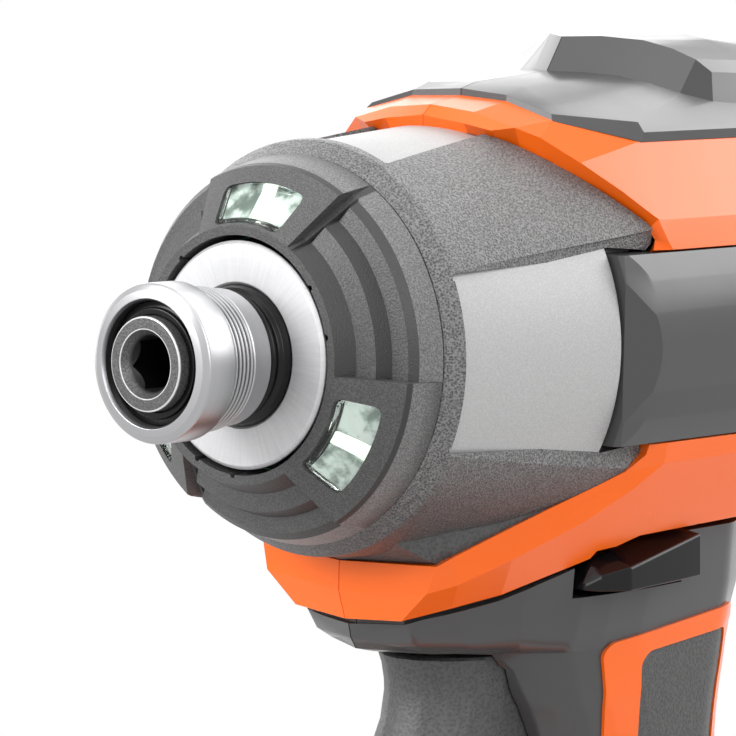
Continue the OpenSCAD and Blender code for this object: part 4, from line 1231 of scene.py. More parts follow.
            cup = curved_block(middle, (high - low) / 2, 17.75, 22.55, -2.3, -1.62, 0.2).mapped(tilted)
            Piece(f"reflector_{index}_{side}", cup).eased(0.15, 40).dressed(
                "lamp" if side == 1 else "reflector", Body.HOUSING, (), "lens"
            )

    def build(self) -> None:
        """Builds the pieces."""
        self.cap()
        for index in range(len(self.mids)):
            self.lens(index)


# Case cover


# Corners of the cover's foot inside the chin, left half
APRON = {
    "a0": (-38.4, 0.0, -29.7), "a1": (-40.6, 15.2, -29.0), "a2": (-42.4, 16.5, -27.6),
    "a3": (-48.8, 18.6, -24.9), "a4": (-55.6, 21.7, -21.9),
    "b0": (-34.4, 0.0, -28.3), "b1": (-34.0, 12.8, -25.4), "b2": (-40.5, 16.1, -24.1),
    "b3": (-48.5, 18.6, -23.2), "b4": (-55.5, 21.6, -21.3),
}
APRON_PANELS = ["a0 a1 b1 b0", "a1 a2 b2 b1", "a2 a3 b3 b2", "a3 a4 b4 b3"]


@dataclass(frozen=True)
class Cover:
    """The grained cover over the hammer case, with a window on top and one in each side."""

    # The cover seen from the side
    edge: tuple[Flat, ...] = (
        (-52.8, 29.2), (-55.4, 27.8), (-69.0, 17.0), (-70.0, 15.6), (-69.8, 14.1), (-68.4, 13.1),
        (-60.5, 13.1), (-60.5, -13.1), (-68.2, -13.1), (-69.1, -14.6), (-66.4, -16.9), (-62.5, -18.6),
        (-56.0, -21.6), (-50.0, -25.0), (-46.7, -28.5), (-44.0, -31.5), (-26.0, -31.5), (-26.0, 40.0),
        (-52.8, 40.0),
    )
    side_window: tuple[Flat, ...] = ((-29.9, -11.8), (-29.9, 11.9), (-61.5, 12.95), (-61.5, -13.0))
    top_window: tuple[Flat, ...] = (
        (-31.4, -12.1), (-31.4, 12.1), (-53.6, 10.0), (-62.0, 9.6), (-62.0, -9.6), (-53.6, -10.0),
    )
    # A flat runs beside each side window and widens to the back: x, inner y, its end above and below
    flat_front: tuple[float, ...] = (-29.0, 25.35, 12.2, 12.6)
    flat_rear: tuple[float, ...] = (-71.5, 26.9, 16.2, 17.2)
    lap: float = 11.0
    reach: float = 60.0

    def flats(self) -> list[Shape]:
        """Returns:
        The blocks that cut the flats.
        """
        found = []
        for side in (-1, 1):
            for low in (1, -1):
                ends = []
                for x, inner, above, below in (self.flat_front, self.flat_rear):
                    end = low * (above if low > 0 else below)
                    near, far = side * inner, side * BESIDE
                    lap = low * self.lap
                    ends.append([(x, near, lap), (x, far, lap), (x, far, end), (x, near, end)])
                found.append(Shape().loft(ends))
        return found

    def build(self) -> None:
        """Builds the cover."""
        seam = S.cap_seam_x - 0.28
        outer = [(seam, 26.2), (-30.0, 28.1), (S.belly_x, 31.0), (-70.5, 31.7)]
        inner = [(-70.5, 29.9), (S.belly_x, 29.95), (-30.2, 27.0), (seam, 24.6)]
        shell = Shape().turned(filleted(outer, [0, 1.2, 3, 0], 5) + inner, 240)
        zone = Shape().prism(filleted(self.edge, 0.5, 3, closed=True), Axis.Y, -self.reach, self.reach)
        cuts = [
            Shape().prism(filleted(self.side_window, 0.6, 4, closed=True), Axis.Y, -self.reach, self.reach),
            Shape().prism(filleted(self.top_window, 0.5, 4, closed=True), Axis.Z, 10.0, self.reach),
            *self.flats(),
        ]
        cover = Piece("cover_shell", shell).combined("INTERSECT", [zone]).combined("DIFFERENCE", cuts)
        cover.eased(0.22, 24, 2).dressed("cover_grey", Body.HOUSING, ["case_cover"])
        apron = Piece("cover_apron", Shape().panels(APRON, APRON_PANELS)).thickened(1.5).mirrored()
        apron.eased(0.2, 7, 2).dressed("trigger_grey", Body.HOUSING, (), "cover_grey")


# Housing


# Corners of the orange head's left half, from the collar's front edge back
HEAD = {
    # Front edge of the collar
    "f0": (-52.8, 0.0, 29.1), "f1": (-54.0, 7.0, 28.6), "f2": (-55.6, 11.4, 27.7), "f3": (-57.0, 13.9, 26.6),
    "f4": (-59.1, 17.4, 24.4), "f5": (-63.4, 21.1, 21.3), "f6": (-68.3, 24.3, 17.6),
    "f7": (-69.6, 26.4, 16.0), "f8": (-69.9, 27.4, 14.6), "f9": (-68.6, 28.2, 13.3),
    # First and second crease on top
    "a0": (-52.7, 0.0, 30.8), "a1": (-53.0, 7.0, 30.0), "a2": (-53.6, 11.4, 29.2),
    "b0": (-54.4, 0.0, 32.2), "b1": (-54.6, 7.5, 31.5),
    "k": (-55.1, 14.4, 29.7),
    # Crease down the side
    "s1": (-57.2, 17.2, 28.4), "s2": (-59.9, 22.1, 25.2), "s3": (-65.0, 25.2, 21.4),
    "s4": (-69.8, 28.0, 17.5), "s5": (-71.2, 28.9, 14.3),
    # Foot of the grey cap
    "c0": (-60.7, 0.0, 33.3), "c1": (-60.2, 8.5, 32.9), "c2": (-60.0, 16.8, 30.7), "c3": (-72.0, 22.8, 27.8),
    "c4": (-100.0, 22.9, 27.8), "c5": (-118.0, 21.8, 27.0), "c6": (-129.0, 19.0, 24.5),
    "c7": (-133.0, 16.5, 21.5),
    # Under the cap
    "t3": (-74.0, 14.0, 31.0), "t4": (-100.0, 14.0, 31.0), "t5": (-118.0, 13.0, 30.0),
    "t6": (-129.0, 11.0, 27.0), "t7": (-133.0, 9.0, 23.0),
    # Shoulder
    "d3": (-72.0, 28.2, 17.4), "d4": (-100.0, 28.2, 17.4), "d5": (-118.0, 27.2, 17.0),
    "d6": (-129.0, 24.5, 15.5), "d7": (-133.0, 21.5, 13.5),
    # Along the belly
    "e3": (-72.0, 29.0, 13.3), "e4": (-100.0, 29.0, 13.3), "e5": (-118.0, 28.4, 13.3),
    "e6": (-129.0, 25.6, 13.3), "e7": (-133.0, 22.6, 13.0),
}
HEAD_PANELS = [
    "f0 a0 a1 f1", "f1 a1 a2 f2", "f2 a2 k f3", "f3 k s1 f4", "f4 s1 s2 f5", "f5 s2 s3 f6", "f6 s3 s4 f7",
    "f7 s4 s5 f8", "f8 s5 e3 f9",
    "a0 b0 b1 a1", "a1 b1 k a2",
    "b0 c0 c1 b1", "b1 c1 c2 k",
    "k c2 s1", "s1 c2 c3 s2", "s2 c3 d3 s3", "s3 d3 s4", "s4 d3 e3 s5",
    "c3 c4 d4 d3", "c4 c5 d5 d4", "c5 c6 d6 d5", "c6 c7 d7 d6",
    "d3 d4 e4 e3", "d4 d5 e5 e4", "d5 d6 e6 e5", "d6 d7 e7 e6",
    "c3 t3 t4 c4", "c4 t4 t5 c5", "c5 t5 t6 c6", "c6 t6 t7 c7",
]

# Corners of the orange chin and lower head, left half
CHIN = {
    # Upper edge
    "t0": (-37.2, 0.0, -29.4), "t1": (-39.1, 15.8, -28.7), "t2": (-41.6, 16.9, -27.4),
    "t3": (-48.4, 19.0, -24.7), "t4": (-55.3, 22.0, -21.6), "t5": (-62.3, 25.0, -18.6),
    "t6": (-65.6, 26.7, -17.0), "t7": (-68.4, 28.0, -14.8), "t8": (-68.6, 28.4, -13.3),
    # Crease in the middle
    "m0": (-37.2, 0.0, -33.6), "m1": (-38.6, 14.5, -32.5), "m2": (-42.0, 17.0, -31.4),
    "m3": (-50.0, 19.9, -28.4), "m4": (-60.0, 24.0, -23.8), "m5": (-67.0, 27.2, -19.4),
    "m6": (-71.8, 28.5, -16.2), "m7": (-72.0, 29.0, -13.3),
    # Lower edge
    "b0": (-38.6, 0.0, -37.6), "b1": (-39.2, 9.6, -36.9), "b2": (-46.0, 12.7, -35.5),
    "b3": (-52.9, 15.7, -34.0), "b4": (-58.4, 18.2, -32.0), "b5": (-65.1, 20.6, -29.9),
    "b6": (-74.0, 23.0, -27.0),
    # Crease behind it
    "p4": (-100.0, 28.3, -16.0), "p5": (-118.0, 27.8, -15.8), "p6": (-129.0, 25.0, -14.4),
    "p7": (-133.0, 22.0, -13.0),
    # Edge under the belly
    "e4": (-100.0, 29.0, -13.3), "e5": (-118.0, 28.4, -13.3), "e6": (-129.0, 25.6, -13.3),
    "e7": (-133.0, 22.4, -12.9),
    # Side of the underside
    "q4": (-100.0, 22.6, -26.4), "q5": (-118.0, 22.1, -25.9), "q6": (-129.0, 19.9, -23.4),
    "q7": (-133.0, 17.6, -20.7),
    # Middle of the underside
    "r4": (-100.0, 0.0, -31.0), "r5": (-118.0, 0.0, -30.4), "r6": (-129.0, 0.0, -27.4),
    "r7": (-133.0, 0.0, -24.2), "r3": (-74.0, 0.0, -31.0),
}
CHIN_PANELS = [
    "t0 t1 m1 m0", "t1 t2 m2 m1", "t2 t3 m3 m2", "t3 t4 m4 m3", "t4 t5 m5 m4", "t5 t6 m6 m5",
    "t6 t7 t8 m7 m6",
    "m0 m1 b1 b0", "m1 m2 b2 b1", "m2 m3 b3 b2", "m3 m4 b4 b3", "m4 m5 b5 b4", "m5 m6 b6 b5",
    "m6 p4 q4 b6", "m7 e4 p4 m6", "p4 p5 q5 q4", "p5 p6 q6 q5", "p6 p7 q7 q6",
    "e4 e5 p5 p4", "e5 e6 p6 p5", "e6 e7 p7 p6",
    "b6 q4 r4 r3", "q4 q5 r5 r4", "q5 q6 r6 r5", "q6 q7 r7 r6",
]

# Corners of the grey cap and its hump, left half
CAP = {
    # Lower edge
    "l0": (-60.7, 0.0, 33.1), "l1": (-60.2, 8.5, 32.7), "l2": (-60.0, 16.9, 30.6), "l3": (-72.0, 23.0, 27.7),
    "l4": (-100.0, 23.1, 27.7), "l5": (-118.0, 22.0, 26.9), "l6": (-129.0, 19.2, 24.4),
    "l7": (-133.1, 16.6, 21.4),
    # Upper edge and crease at the front
    "u0": (-60.7, 0.0, 34.25), "u1": (-60.4, 8.4, 33.7), "u2": (-60.6, 16.2, 31.5),
    "v2": (-63.8, 16.0, 32.0), "v0": (-64.0, 0.0, 35.1), "v1": (-63.6, 8.4, 34.7),
    "u3": (-73.4, 21.2, 30.3),
    # Lower and upper crease of the side
    "n3": (-72.6, 22.9, 29.0), "n4": (-100.0, 23.0, 29.0), "n5": (-118.0, 21.9, 28.2),
    "n6": (-129.0, 19.1, 25.7), "n7": (-133.1, 16.5, 22.6),
    "u4": (-100.0, 21.2, 30.3), "u5": (-118.0, 20.2, 29.4), "u6": (-129.0, 17.4, 26.9),
    "u7": (-133.1, 14.8, 23.6),
    # Foot of the hump
    "h0": (-79.4, 0.0, 36.3), "h1": (-81.9, 4.5, 36.25), "h2": (-84.4, 9.0, 35.9), "h3": (-86.4, 13.2, 34.9),
    "h4": (-88.6, 16.6, 33.7), "h5": (-93.6, 18.7, 32.5), "h6": (-105.0, 19.3, 31.7),
    "h7": (-118.5, 18.2, 30.9),
    # Front crest of the hump
    "g0": (-82.6, 0.0, 41.1), "g1": (-85.6, 4.6, 41.3), "g2": (-90.2, 8.6, 40.8), "g3": (-92.6, 12.0, 39.7),
    "g4": (-93.4, 15.6, 38.3), "g5": (-94.4, 17.7, 36.6),
    # Its highest place
    "r0": (-105.0, 0.0, 41.5), "r1": (-105.0, 5.0, 41.3), "r2": (-105.0, 9.0, 40.6),
    "r3": (-105.0, 12.6, 39.4), "r4": (-105.0, 16.2, 38.0), "r5": (-105.0, 18.4, 36.2),
    # Where it starts to fall
    "w0": (-118.0, 0.0, 40.0), "w1": (-118.0, 4.8, 39.8), "w2": (-118.0, 8.6, 39.0),
    "w3": (-118.0, 12.0, 37.8), "w4": (-118.0, 15.4, 36.4), "w5": (-118.0, 17.4, 34.6),
    # Its rear foot
    "q0": (-128.0, 0.0, 34.4), "q1": (-128.0, 4.2, 34.2), "q2": (-128.0, 7.4, 33.6),
    "q3": (-128.0, 10.2, 32.6), "q4": (-128.0, 12.6, 31.2), "q5": (-128.2, 14.6, 29.2),
    "z7": (-133.1, 0.0, 24.4),
}
CAP_PANELS = [
    "l0 u0 u1 l1", "l1 u1 u2 l2", "l2 u2 u3 n3 l3", "u0 v0 v1 u1", "u1 v1 v2 u2", "u2 v2 u3",
    "l3 n3 n4 l4", "l4 n4 n5 l5", "l5 n5 n6 l6", "l6 n6 n7 l7",
    "n3 u3 u4 n4", "n4 u4 u5 n5", "n5 u5 u6 n6", "n6 u6 u7 n7",
    "v0 h0 h1 v1", "v1 h1 h2", "v1 h2 h3 v2", "v2 h3 h4 u3", "u3 h4 h5", "u3 h5 h6 u4", "u4 h6 h7 u5",
    "u5 h7 q5 u6",
    "h0 g0 g1 h1", "h1 g1 g2 h2", "h2 g2 g3 h3", "h3 g3 g4 h4", "h4 g4 g5 h5", "h5 g5 r5 h6", "h6 r5 w5 h7",
    "h7 w5 q5",
    "g0 r0 r1 g1", "g1 r1 r2 g2", "g2 r2 r3 g3", "g3 r3 r4 g4", "g4 r4 r5 g5",
    "r0 w0 w1 r1", "r1 w1 w2 r2", "r2 w2 w3 r3", "r3 w3 w4 r4", "r4 w4 w5 r5",
    "w0 q0 q1 w1", "w1 q1 q2 w2", "w2 q2 q3 w3", "w3 q3 q4 w4", "w4 q4 q5 w5",
    "q0 z7 u7 q1", "q1 u7 q2", "q2 u7 q3", "q3 u7 q4", "q4 u7 q5", "q5 u7 u6",
]


@dataclass(frozen=True)
class Moulding:
    """A shell moulded in two halves from flat panels."""

    name: str
    points: dict[str, Point]
    faces: Sequence[str]
    wall: float
    bevel: float
    finish: str
    seam: float = 0.12
    sharp: float = 7.0

    def build(self, cuts: Sequence[Shape]) -> None:
        """Args:
        cuts: What is taken out of both halves.
        """
        piece = Piece(self.name, Shape().panels(self.points, self.faces))
        piece.thickened(self.wall).mirrored(self.seam)
        if cuts:
            piece.combined("DIFFERENCE", cuts)
        piece.eased(self.bevel, self.sharp, 3).dressed(self.finish, Body.HOUSING)


@dataclass(frozen=True)
class Head:
    """The orange head and chin, the grey cap with its hump, and the screws' wells in them."""

    mouldings: tuple[Moulding, ...] = (
        Moulding("head_shell", HEAD, HEAD_PANELS, 1.4, 0.3, "orange_case", sharp=11.0),
        Moulding("chin_shell", CHIN, CHIN_PANELS, 2.6, 0.35, "orange_case"),
        Moulding("top_cap", CAP, CAP_PANELS, 1.4, 0.25, "grey_skin", sharp=17.0),
    )
    # The selector's slot in the chin seen from the side
    slot: tuple[Flat, ...] = ((-88.0, -35.4), (-64.2, -35.4), (-64.2, -32.4), (-66.4, -28.6), (-88.0, -26.6))
    slot_inner: float = 14.0
    # Half outline of the rear plate as (y, z), from the top round
    rear_outline: tuple[Flat, ...] = (
        (0.0, 24.1), (14.6, 23.3), (16.2, 22.2), (16.3, 21.2), (21.2, 13.5), (21.9, 11.0), (23.5, 6.0),
        (24.2, 0.0), (23.5, -6.0), (21.9, -11.0), (21.7, -13.0), (17.3, -20.5), (0.0, -23.9),
    )
    rear_slots: tuple[float, ...] = (-15.0, -10.5, 10.5, 15.0)
    boss: tuple[Flat, ...] = ((-134.8, 0.0), (-134.8, 6.6), (-133.2, 8.2), (-133.2, 0.0))

    def cuts(self, name: str) -> list[Shape]:
        """Args:
            name: Which moulding.

        Returns:
            What is taken out of it.
        """
        found = []
        if name == "chin_shell":
            for low, high in ((-BESIDE, -self.slot_inner), (self.slot_inner, BESIDE)):
                found.append(Shape().prism(self.slot, Axis.Y, low, high))
        else:
            found += screw_wells(CAP_SCREWS)
        return found

    def wells(self) -> None:
        """The tubes that the two upper screws sit in."""
        shape = Shape()
        for x, z, _ in CAP_SCREWS:
            ring = rectangle(-10.5, -21.8, SCREW_HOLE + 1.2, SCREW_HOLE)
            shape.turned(ring, 48, about=Axis.Y, at=(x, 0.0, z))
        under = [(-8.0, 20.0), (-22.4, 20.0), (-22.4, 28.4), (-20.6, 29.8), (-16.0, 31.0), (-8.0, 33.5)]
        zone = Shape().prism(under, Axis.X, -130.0, -60.0)
        wells = Piece("screw_wells", shape).combined("INTERSECT", [zone])
        wells.eased(0, 40).dressed("grey_skin", Body.HOUSING)

    def rear(self) -> None:
        """The slotted plate that closes the back."""
        outline = [*self.rear_outline, *((-y, z) for y, z in reversed(self.rear_outline[1:-1]))]
        slots = []
        for z in self.rear_slots:
            slot = filleted(rectangle(-9.0, 9.0, z - 1.2, z + 1.2), 1.1, 4, closed=True)
            slots.append(Shape().prism(slot, Axis.X, -140.0, -120.0))
        boss = Shape().turned(filleted(self.boss, [0, 0.6, 0.3, 0], 4), 96)
        plate = Piece("rear_plate", Shape().prism(outline, Axis.X, -133.8, -132.0))
        plate.combined("DIFFERENCE", slots)
        plate.combined("UNION", [boss]).eased(0.35, 25, 3).dressed("grey_skin", Body.HOUSING)

    def build(self) -> None:
        """Builds the pieces."""
        for moulding in self.mouldings:
            moulding.build(self.cuts(moulding.name))
        self.wells()
        self.rear()


@dataclass(frozen=True)
class Belly:
    """The round grey belly on each side of the motor, with flats cut across its front and air slots."""

    profile: tuple[Flat, ...] = (
        (-60.6, 26.0), (-60.6, 31.2), (-61.2, S.belly_r), (-118.0, S.belly_r), (-129.0, 28.0), (-133.0, 24.6),
        (-133.0, 20.0),
    )
    radii: tuple[float, ...] = (0, 0.3, 0, 4, 2, 0.8, 0)
    steps: int = 48
    slot_rows: tuple[float, ...] = (-9.0, -3.0, 3.0, 9.0)
    slot_ends: Flat = (-116.5, -109.5)
    # Flats across the front of the left side: a point's height and the direction
    flat_at: Flat = (-60.9, 30.0)
    flats: tuple[tuple[float, Point], ...] = (
        (0.0, (0.342, 0.94, 0.0)), (9.2, (0.132, 0.964, 0.227)), (-9.6, (0.132, 0.964, -0.227)),
    )

    def side(self, side: int, name: str) -> None:
        """Args:
        side: 1 for the left, -1 for the right.
        name: The piece's name.
        """
        line = filleted(self.profile, self.radii, 4)
        heights = [S.belly_half * (2 * k / self.steps - 1) for k in range(self.steps + 1)]
        rows = [[(x, side * math.sqrt(r * r - z * z), z) for x, r in line] for z in heights]
        x, y = self.flat_at
        cuts = [plane_cut((x, y * side, z), (a, b * side, c)) for z, (a, b, c) in self.flats]
        low, high = sorted((side * 18.0, side * BESIDE))
        rear, front = self.slot_ends
        for z in self.slot_rows:
            outline = rectangle(rear, front, z - 1.3, z + 1.3)
            cuts.append(Shape().prism(filleted(outline, 1.2, 4, closed=True), Axis.Y, low, high))
        belly = Piece(name, Shape().loft(rows)).combined("DIFFERENCE", cuts)
        belly.eased(0.3, 9, 3).dressed("grey_skin", Body.HOUSING)

    def build(self) -> None:
        """Builds both sides."""
        self.side(1, "left_belly")
        self.side(-1, "right_belly")


def chin_groove(drop: float, depth: float) -> Shape:
    """Args:
        drop: Its height below the chin's lower edge.
        depth: How far in from the chin's face it goes.

    Returns:
        The groove under the chin, as a block that is taken out of the neck.
    """
    edge = [Vector(CHIN[key]) for key in ("b6", "b5", "b4", "b3", "b2", "b1", "b0")]
    edge += [Vector((p.x, -p.y, p.z)) for p in reversed(edge[:-1])]
    rows = []
    for k, place in enumerate(edge):
        along = edge[min(k + 1, len(edge) - 1)] - edge[max(k - 1, 0)]
        inward = Vector((along.y, -along.x, 0.0)).normalized()
        if inward.dot(Vector((-70.0, 0.0, 0.0)) - Vector((place.x, place.y, 0.0))) < 0.0:
            inward = -inward
        out, deep = place - inward * 2.0, place + inward * depth
        rows.append([(p.x, p.y, p.z + h) for p, h in ((out, 0.4), (deep, 0.4), (deep, -drop), (out, -drop))])
    return Shape().loft(rows)


def plane_cut(place: Point, normal: Point) -> Shape:
    """Args:
        place: A point of the plane.
        normal: Its direction, towards the side that is cut away.

    Returns:
        A block that fills that side.
    """
    turn = Vector(normal).to_track_quat("Z", "Y").to_matrix()
    corners = rectangle(-9.0, 9.0, -16.0, 16.0)
    return Shape().loft(
        [[tuple(Vector(place) + turn @ Vector((a, b, h))) for a, b in corners] for h in (0.0, 8.0)]
    )


# Handle


# Half outlines of the neck and grip seen from above, as (z, (x, y) ...)
GRIP_ROWS: tuple[tuple[float, tuple[Flat, ...]], ...] = (
    (-28.0, (
        (-42.0, 0), (-45.0, 10.5), (-51.0, 15.0), (-58.0, 18.5), (-66.0, 20.0),
        (-72.0, 20.4), (-80.0, 20.5), (-100.0, 19.5), (-112.0, 14.0), (-115.0, 0),
    )),
    (-36.6, (
        (-38.9, 0), (-40.4, 9.4), (-47.6, 13.3), (-56.0, 16.8), (-66.0, 19.4),
        (-72.0, 20.0), (-80.0, 20.2), (-100.0, 19.0), (-110.5, 13.5), (-113.0, 0),
    )),
    (-40.4, (
        (-39.9, 0), (-42.8, 9.0), (-48.8, 12.8), (-57.0, 16.0), (-66.0, 18.6),
        (-72.0, 19.0), (-80.0, 19.2), (-100.0, 18.4), (-109.5, 13.0), (-112.5, 0),
    )),
    (-42.0, (
        (-41.0, 0), (-45.6, 8.6), (-50.8, 12.0), (-58.0, 15.0), (-66.0, 17.9),
        (-72.0, 18.6), (-80.0, 18.9), (-100.0, 18.2), (-109.3, 12.8), (-112.0, 0),
    )),
    (-42.8, (
        (-44.5, 0), (-48.6, 7.2), (-53.0, 10.6), (-59.0, 14.2), (-66.0, 17.6),
        (-72.0, 18.5), (-80.0, 18.9), (-99.5, 18.2), (-109.0, 12.8), (-112.0, 0),
    )),
    (-43.3, (
        (-53.0, 0), (-54.5, 6.5), (-58.0, 10.2), (-61.0, 13.8), (-66.2, 17.2),
        (-72.0, 18.4), (-80.0, 18.9), (-99.5, 18.1), (-108.8, 12.7), (-111.8, 0),
    )),
    (-46.0, (
        (-60.0, 0), (-60.4, 6.5), (-61.4, 11.0), (-63.0, 14.6), (-67.0, 17.4),
        (-72.0, 18.4), (-80.0, 18.8), (-99.0, 18.0), (-108.0, 12.6), (-111.0, 0),
    )),
    (-49.5, (
        (-62.0, 0), (-62.2, 6.8), (-62.8, 12.0), (-64.2, 15.4), (-68.0, 17.6),
        (-73.0, 18.4), (-81.0, 18.6), (-98.5, 17.8), (-107.4, 12.6), (-110.4, 0),
    )),
    (-55.0, (
        (-65.5, 0), (-65.8, 6.8), (-66.6, 12.0), (-68.2, 15.0), (-71.6, 17.0),
        (-76.0, 17.7), (-84.0, 17.9), (-98.0, 17.2), (-106.5, 12.4), (-109.0, 0),
    )),
    (-70.0, (
        (-71.0, 0), (-71.4, 6.4), (-72.2, 11.0), (-74.0, 13.8), (-77.0, 15.6),
        (-81.0, 16.3), (-88.0, 16.5), (-99.0, 16.0), (-106.8, 11.8), (-109.5, 0),
    )),
    (-90.0, (
        (-73.0, 0), (-73.4, 6.4), (-74.2, 11.0), (-76.0, 14.0), (-79.4, 16.0),
        (-84.0, 16.8), (-91.0, 17.0), (-102.0, 16.4), (-110.0, 12.0), (-113.0, 0),
    )),
    (-105.0, (
        (-75.0, 0), (-75.4, 6.0), (-76.2, 10.6), (-78.0, 13.6), (-81.4, 15.6),
        (-86.0, 16.3), (-93.0, 16.5), (-103.0, 15.9), (-111.0, 11.6), (-114.0, 0),
    )),
    (-118.4, (
        (-74.0, 0), (-74.6, 6.8), (-75.6, 11.8), (-77.8, 15.2), (-81.8, 17.2),
        (-87.0, 17.9), (-95.0, 18.0), (-107.0, 17.4), (-115.0, 12.8), (-118.0, 0),
    )),
    (-123.0, (
        (-71.5, 0), (-72.2, 7.8), (-73.6, 13.4), (-76.2, 17.2), (-80.6, 19.6),
        (-87.0, 20.4), (-96.0, 20.5), (-111.0, 19.8), (-119.4, 14.6), (-122.5, 0),
    )),
)


def widened(outline: Sequence[Flat], by: float) -> list[Flat]:
    """Args:
        outline: A closed outline.
        by: How far it moves outward.

    Returns:
        The larger outline.
    """
    count, found = len(outline), []
    area = sum(a[0] * b[1] - b[0] * a[1] for a, b in zip(outline, (*outline[1:], outline[0])))
    sign = math.copysign(1.0, area)
    for i, (x, y) in enumerate(outline):
        along = Vector(outline[(i + 1) % count]) - Vector(outline[i - 1])
        length = max(along.length, 1e-6)
        found.append((x + sign * by * along.y / length, y - sign * by * along.x / length))
    return found


def chamfered(front: float, rear: float, half: float, cut: float, z: float) -> list[Point]:
    """A plan outline with chamfered corners at a height."""
    side = [(front, half - cut), (front - cut, half), (rear + cut, half), (rear, half - cut)]
    return [(x, y, z) for x, y in side] + [(x, -y, z) for x, y in reversed(side)]


@dataclass(frozen=True)
class Handle:
    """The grip's skin, its orange panels with grey insets, and the foot."""

    radii: tuple[float, ...] = (0, 1.5, 3, 5, 6, 6, 8, 8, 6, 0)
    panel: tuple[Flat, ...] = (
        (-71.7, -44.0), (-73.7, -42.6), (-103.8, -39.8), (-105.8, -44.0), (-103.8, -69.8), (-92.0, -83.6),
        (-76.2, -69.8),
    )
    inset: tuple[Flat, ...] = (
        (-80.0, -46.0), (-82.0, -44.6), (-101.0, -43.2), (-102.6, -46.0), (-101.0, -68.0), (-92.0, -79.6),
        (-82.0, -68.0),
    )
    panel_proud: float = 0.5
    inset_proud: float = 0.2
    # The trigger's pocket, the selector's slot and the seams seen from the side
    pocket: tuple[Flat, ...] = ((-90.6, -72.4), (-90.6, -43.6), (-30.0, -43.6), (-30.0, -72.4))
    slot: Box = (-88.0, -64.2, -35.3, -27.0)
    panel_slot: Box = (-88.2, -64.2, -35.3, -27.0)
    front_seam: Box = (-50.0, -36.0, -46.0, -27.0)
    rear_seam: Box = (-125.0, -107.6, -125.0, -27.0)
    foot_seam: Box = (-150.0, -30.0, -150.0, -120.0)
    seam_half: float = 0.09
    # The opening for the pack's rails seen from the front, wide above and narrower below
    rail_slot: Box = (-26.4, 26.4, -137.4, -134.6)
    rail_mouth: Box = (-22.4, 22.4, -150.0, -137.0)
    # Screws in the right side as (x, z, y of the head's seat)
    grip_screws: tuple[Point, ...] = ((-54, -37, -10), (-96, -35, -14), (-92, -88, -10), (-95, -110, -10))
    foot_screws: tuple[Point, ...] = ((-55, -130.2, -16), (-129, -129.6, -16))
    # The foot as (z, front x, rear x, half width)
    foot_rows: tuple[tuple[float, ...], ...] = (
        (-121.6, -66.0, -128.0, 23.0), (-124.4, -54.0, -136.0, 30.0), (-134.0, -44.0, -142.0, 36.0),
        (-143.6, -42.0, -142.0, 36.0), (S.foot_z, -42.6, -141.4, 35.4),
    )
    button: Flat = (-63.0, 0.0)
    button_hole: float = 4.3
    insert: Flat = (-92.0, -138.4)
    insert_hole: float = 2.65

    def outline(self, z: float, grow: float) -> list[Point]:
        """Args:
            z: Height.
            grow: How far the form is offset outward.

        Returns:
            The grip's outline there.
        """
        table = [(-height, *(value for place in row for value in place)) for height, row in GRIP_ROWS]
        flat = level(table, -z) if z > -50.0 else eased(table, -z, 3.5)
        half = filleted(list(zip(flat[::2], flat[1::2])), self.radii, 4)
        ring = whole(half)
        return [(x, y, z) for x, y in (widened(ring, grow) if grow else ring)]

    def form(self, grow: float = 0.0) -> Shape:
        """Args:
            grow: How far the form is offset outward.

        Returns:
            The neck and grip as one loft.
        """
        heights = [height for height, _ in GRIP_ROWS if height > -50.0]
        heights += [-52.0 - 2.36 * k for k in range(31)]
        return Shape().loft([self.outline(z, grow) for z in heights])

    def skin(self) -> None:
        """The soft skin of the neck and grip."""
        cuts = [
            Shape().prism(self.pocket, Axis.Y, -10.0, 10.0),
            Shape().prism(rectangle(*self.slot), Axis.Y, -BESIDE, BESIDE),
            Shape().prism(rectangle(*self.front_seam), Axis.Y, -self.seam_half, self.seam_half),
            Shape().prism(rectangle(*self.rear_seam), Axis.Y, -self.seam_half, self.seam_half),
        ]
        cuts += [*screw_wells(self.grip_screws), chin_groove(0.8, 2.4)]
        skin = Piece("grip_skin", self.form()).combined("DIFFERENCE", cuts)
        skin.eased(0.45, 32, 3).dressed("grey_skin", Body.HOUSING, ["left_overmold", "right_overmold"])

    def panels(self) -> None:
        """The orange panel and its textured inset on each side."""
        holes = screw_wells(self.grip_screws)
        for side, name in ((1, "left"), (-1, "right")):
            low, high = sorted((side * 10.6, side * BESIDE))
            zone = Shape().prism(filleted(self.panel, 3.0, 5, closed=True), Axis.Y, low, high)
            window = Shape().prism(filleted(self.inset, 2.5, 5, closed=True), Axis.Y, low, high)
            slot = Shape().prism(rectangle(*self.panel_slot), Axis.Y, low, high)
            panel = Piece(f"{name}_panel", self.form(self.panel_proud)).combined("INTERSECT", [zone])
            panel.combined("DIFFERENCE", [window, slot])
            panel.eased(0.55, 35, 3).dressed("orange_case", Body.HOUSING)
            zone = Shape().prism(filleted(self.inset, 2.5, 5, closed=True), Axis.Y, low, high)
            inset = Piece(f"{name}_inset", self.form(self.inset_proud)).combined("INTERSECT", [zone])
            if side < 0:
                inset.combined("DIFFERENCE", holes)
            inset.eased(0.3, 35, 3).dressed("trigger_grey", Body.HOUSING, (), "grey_skin")

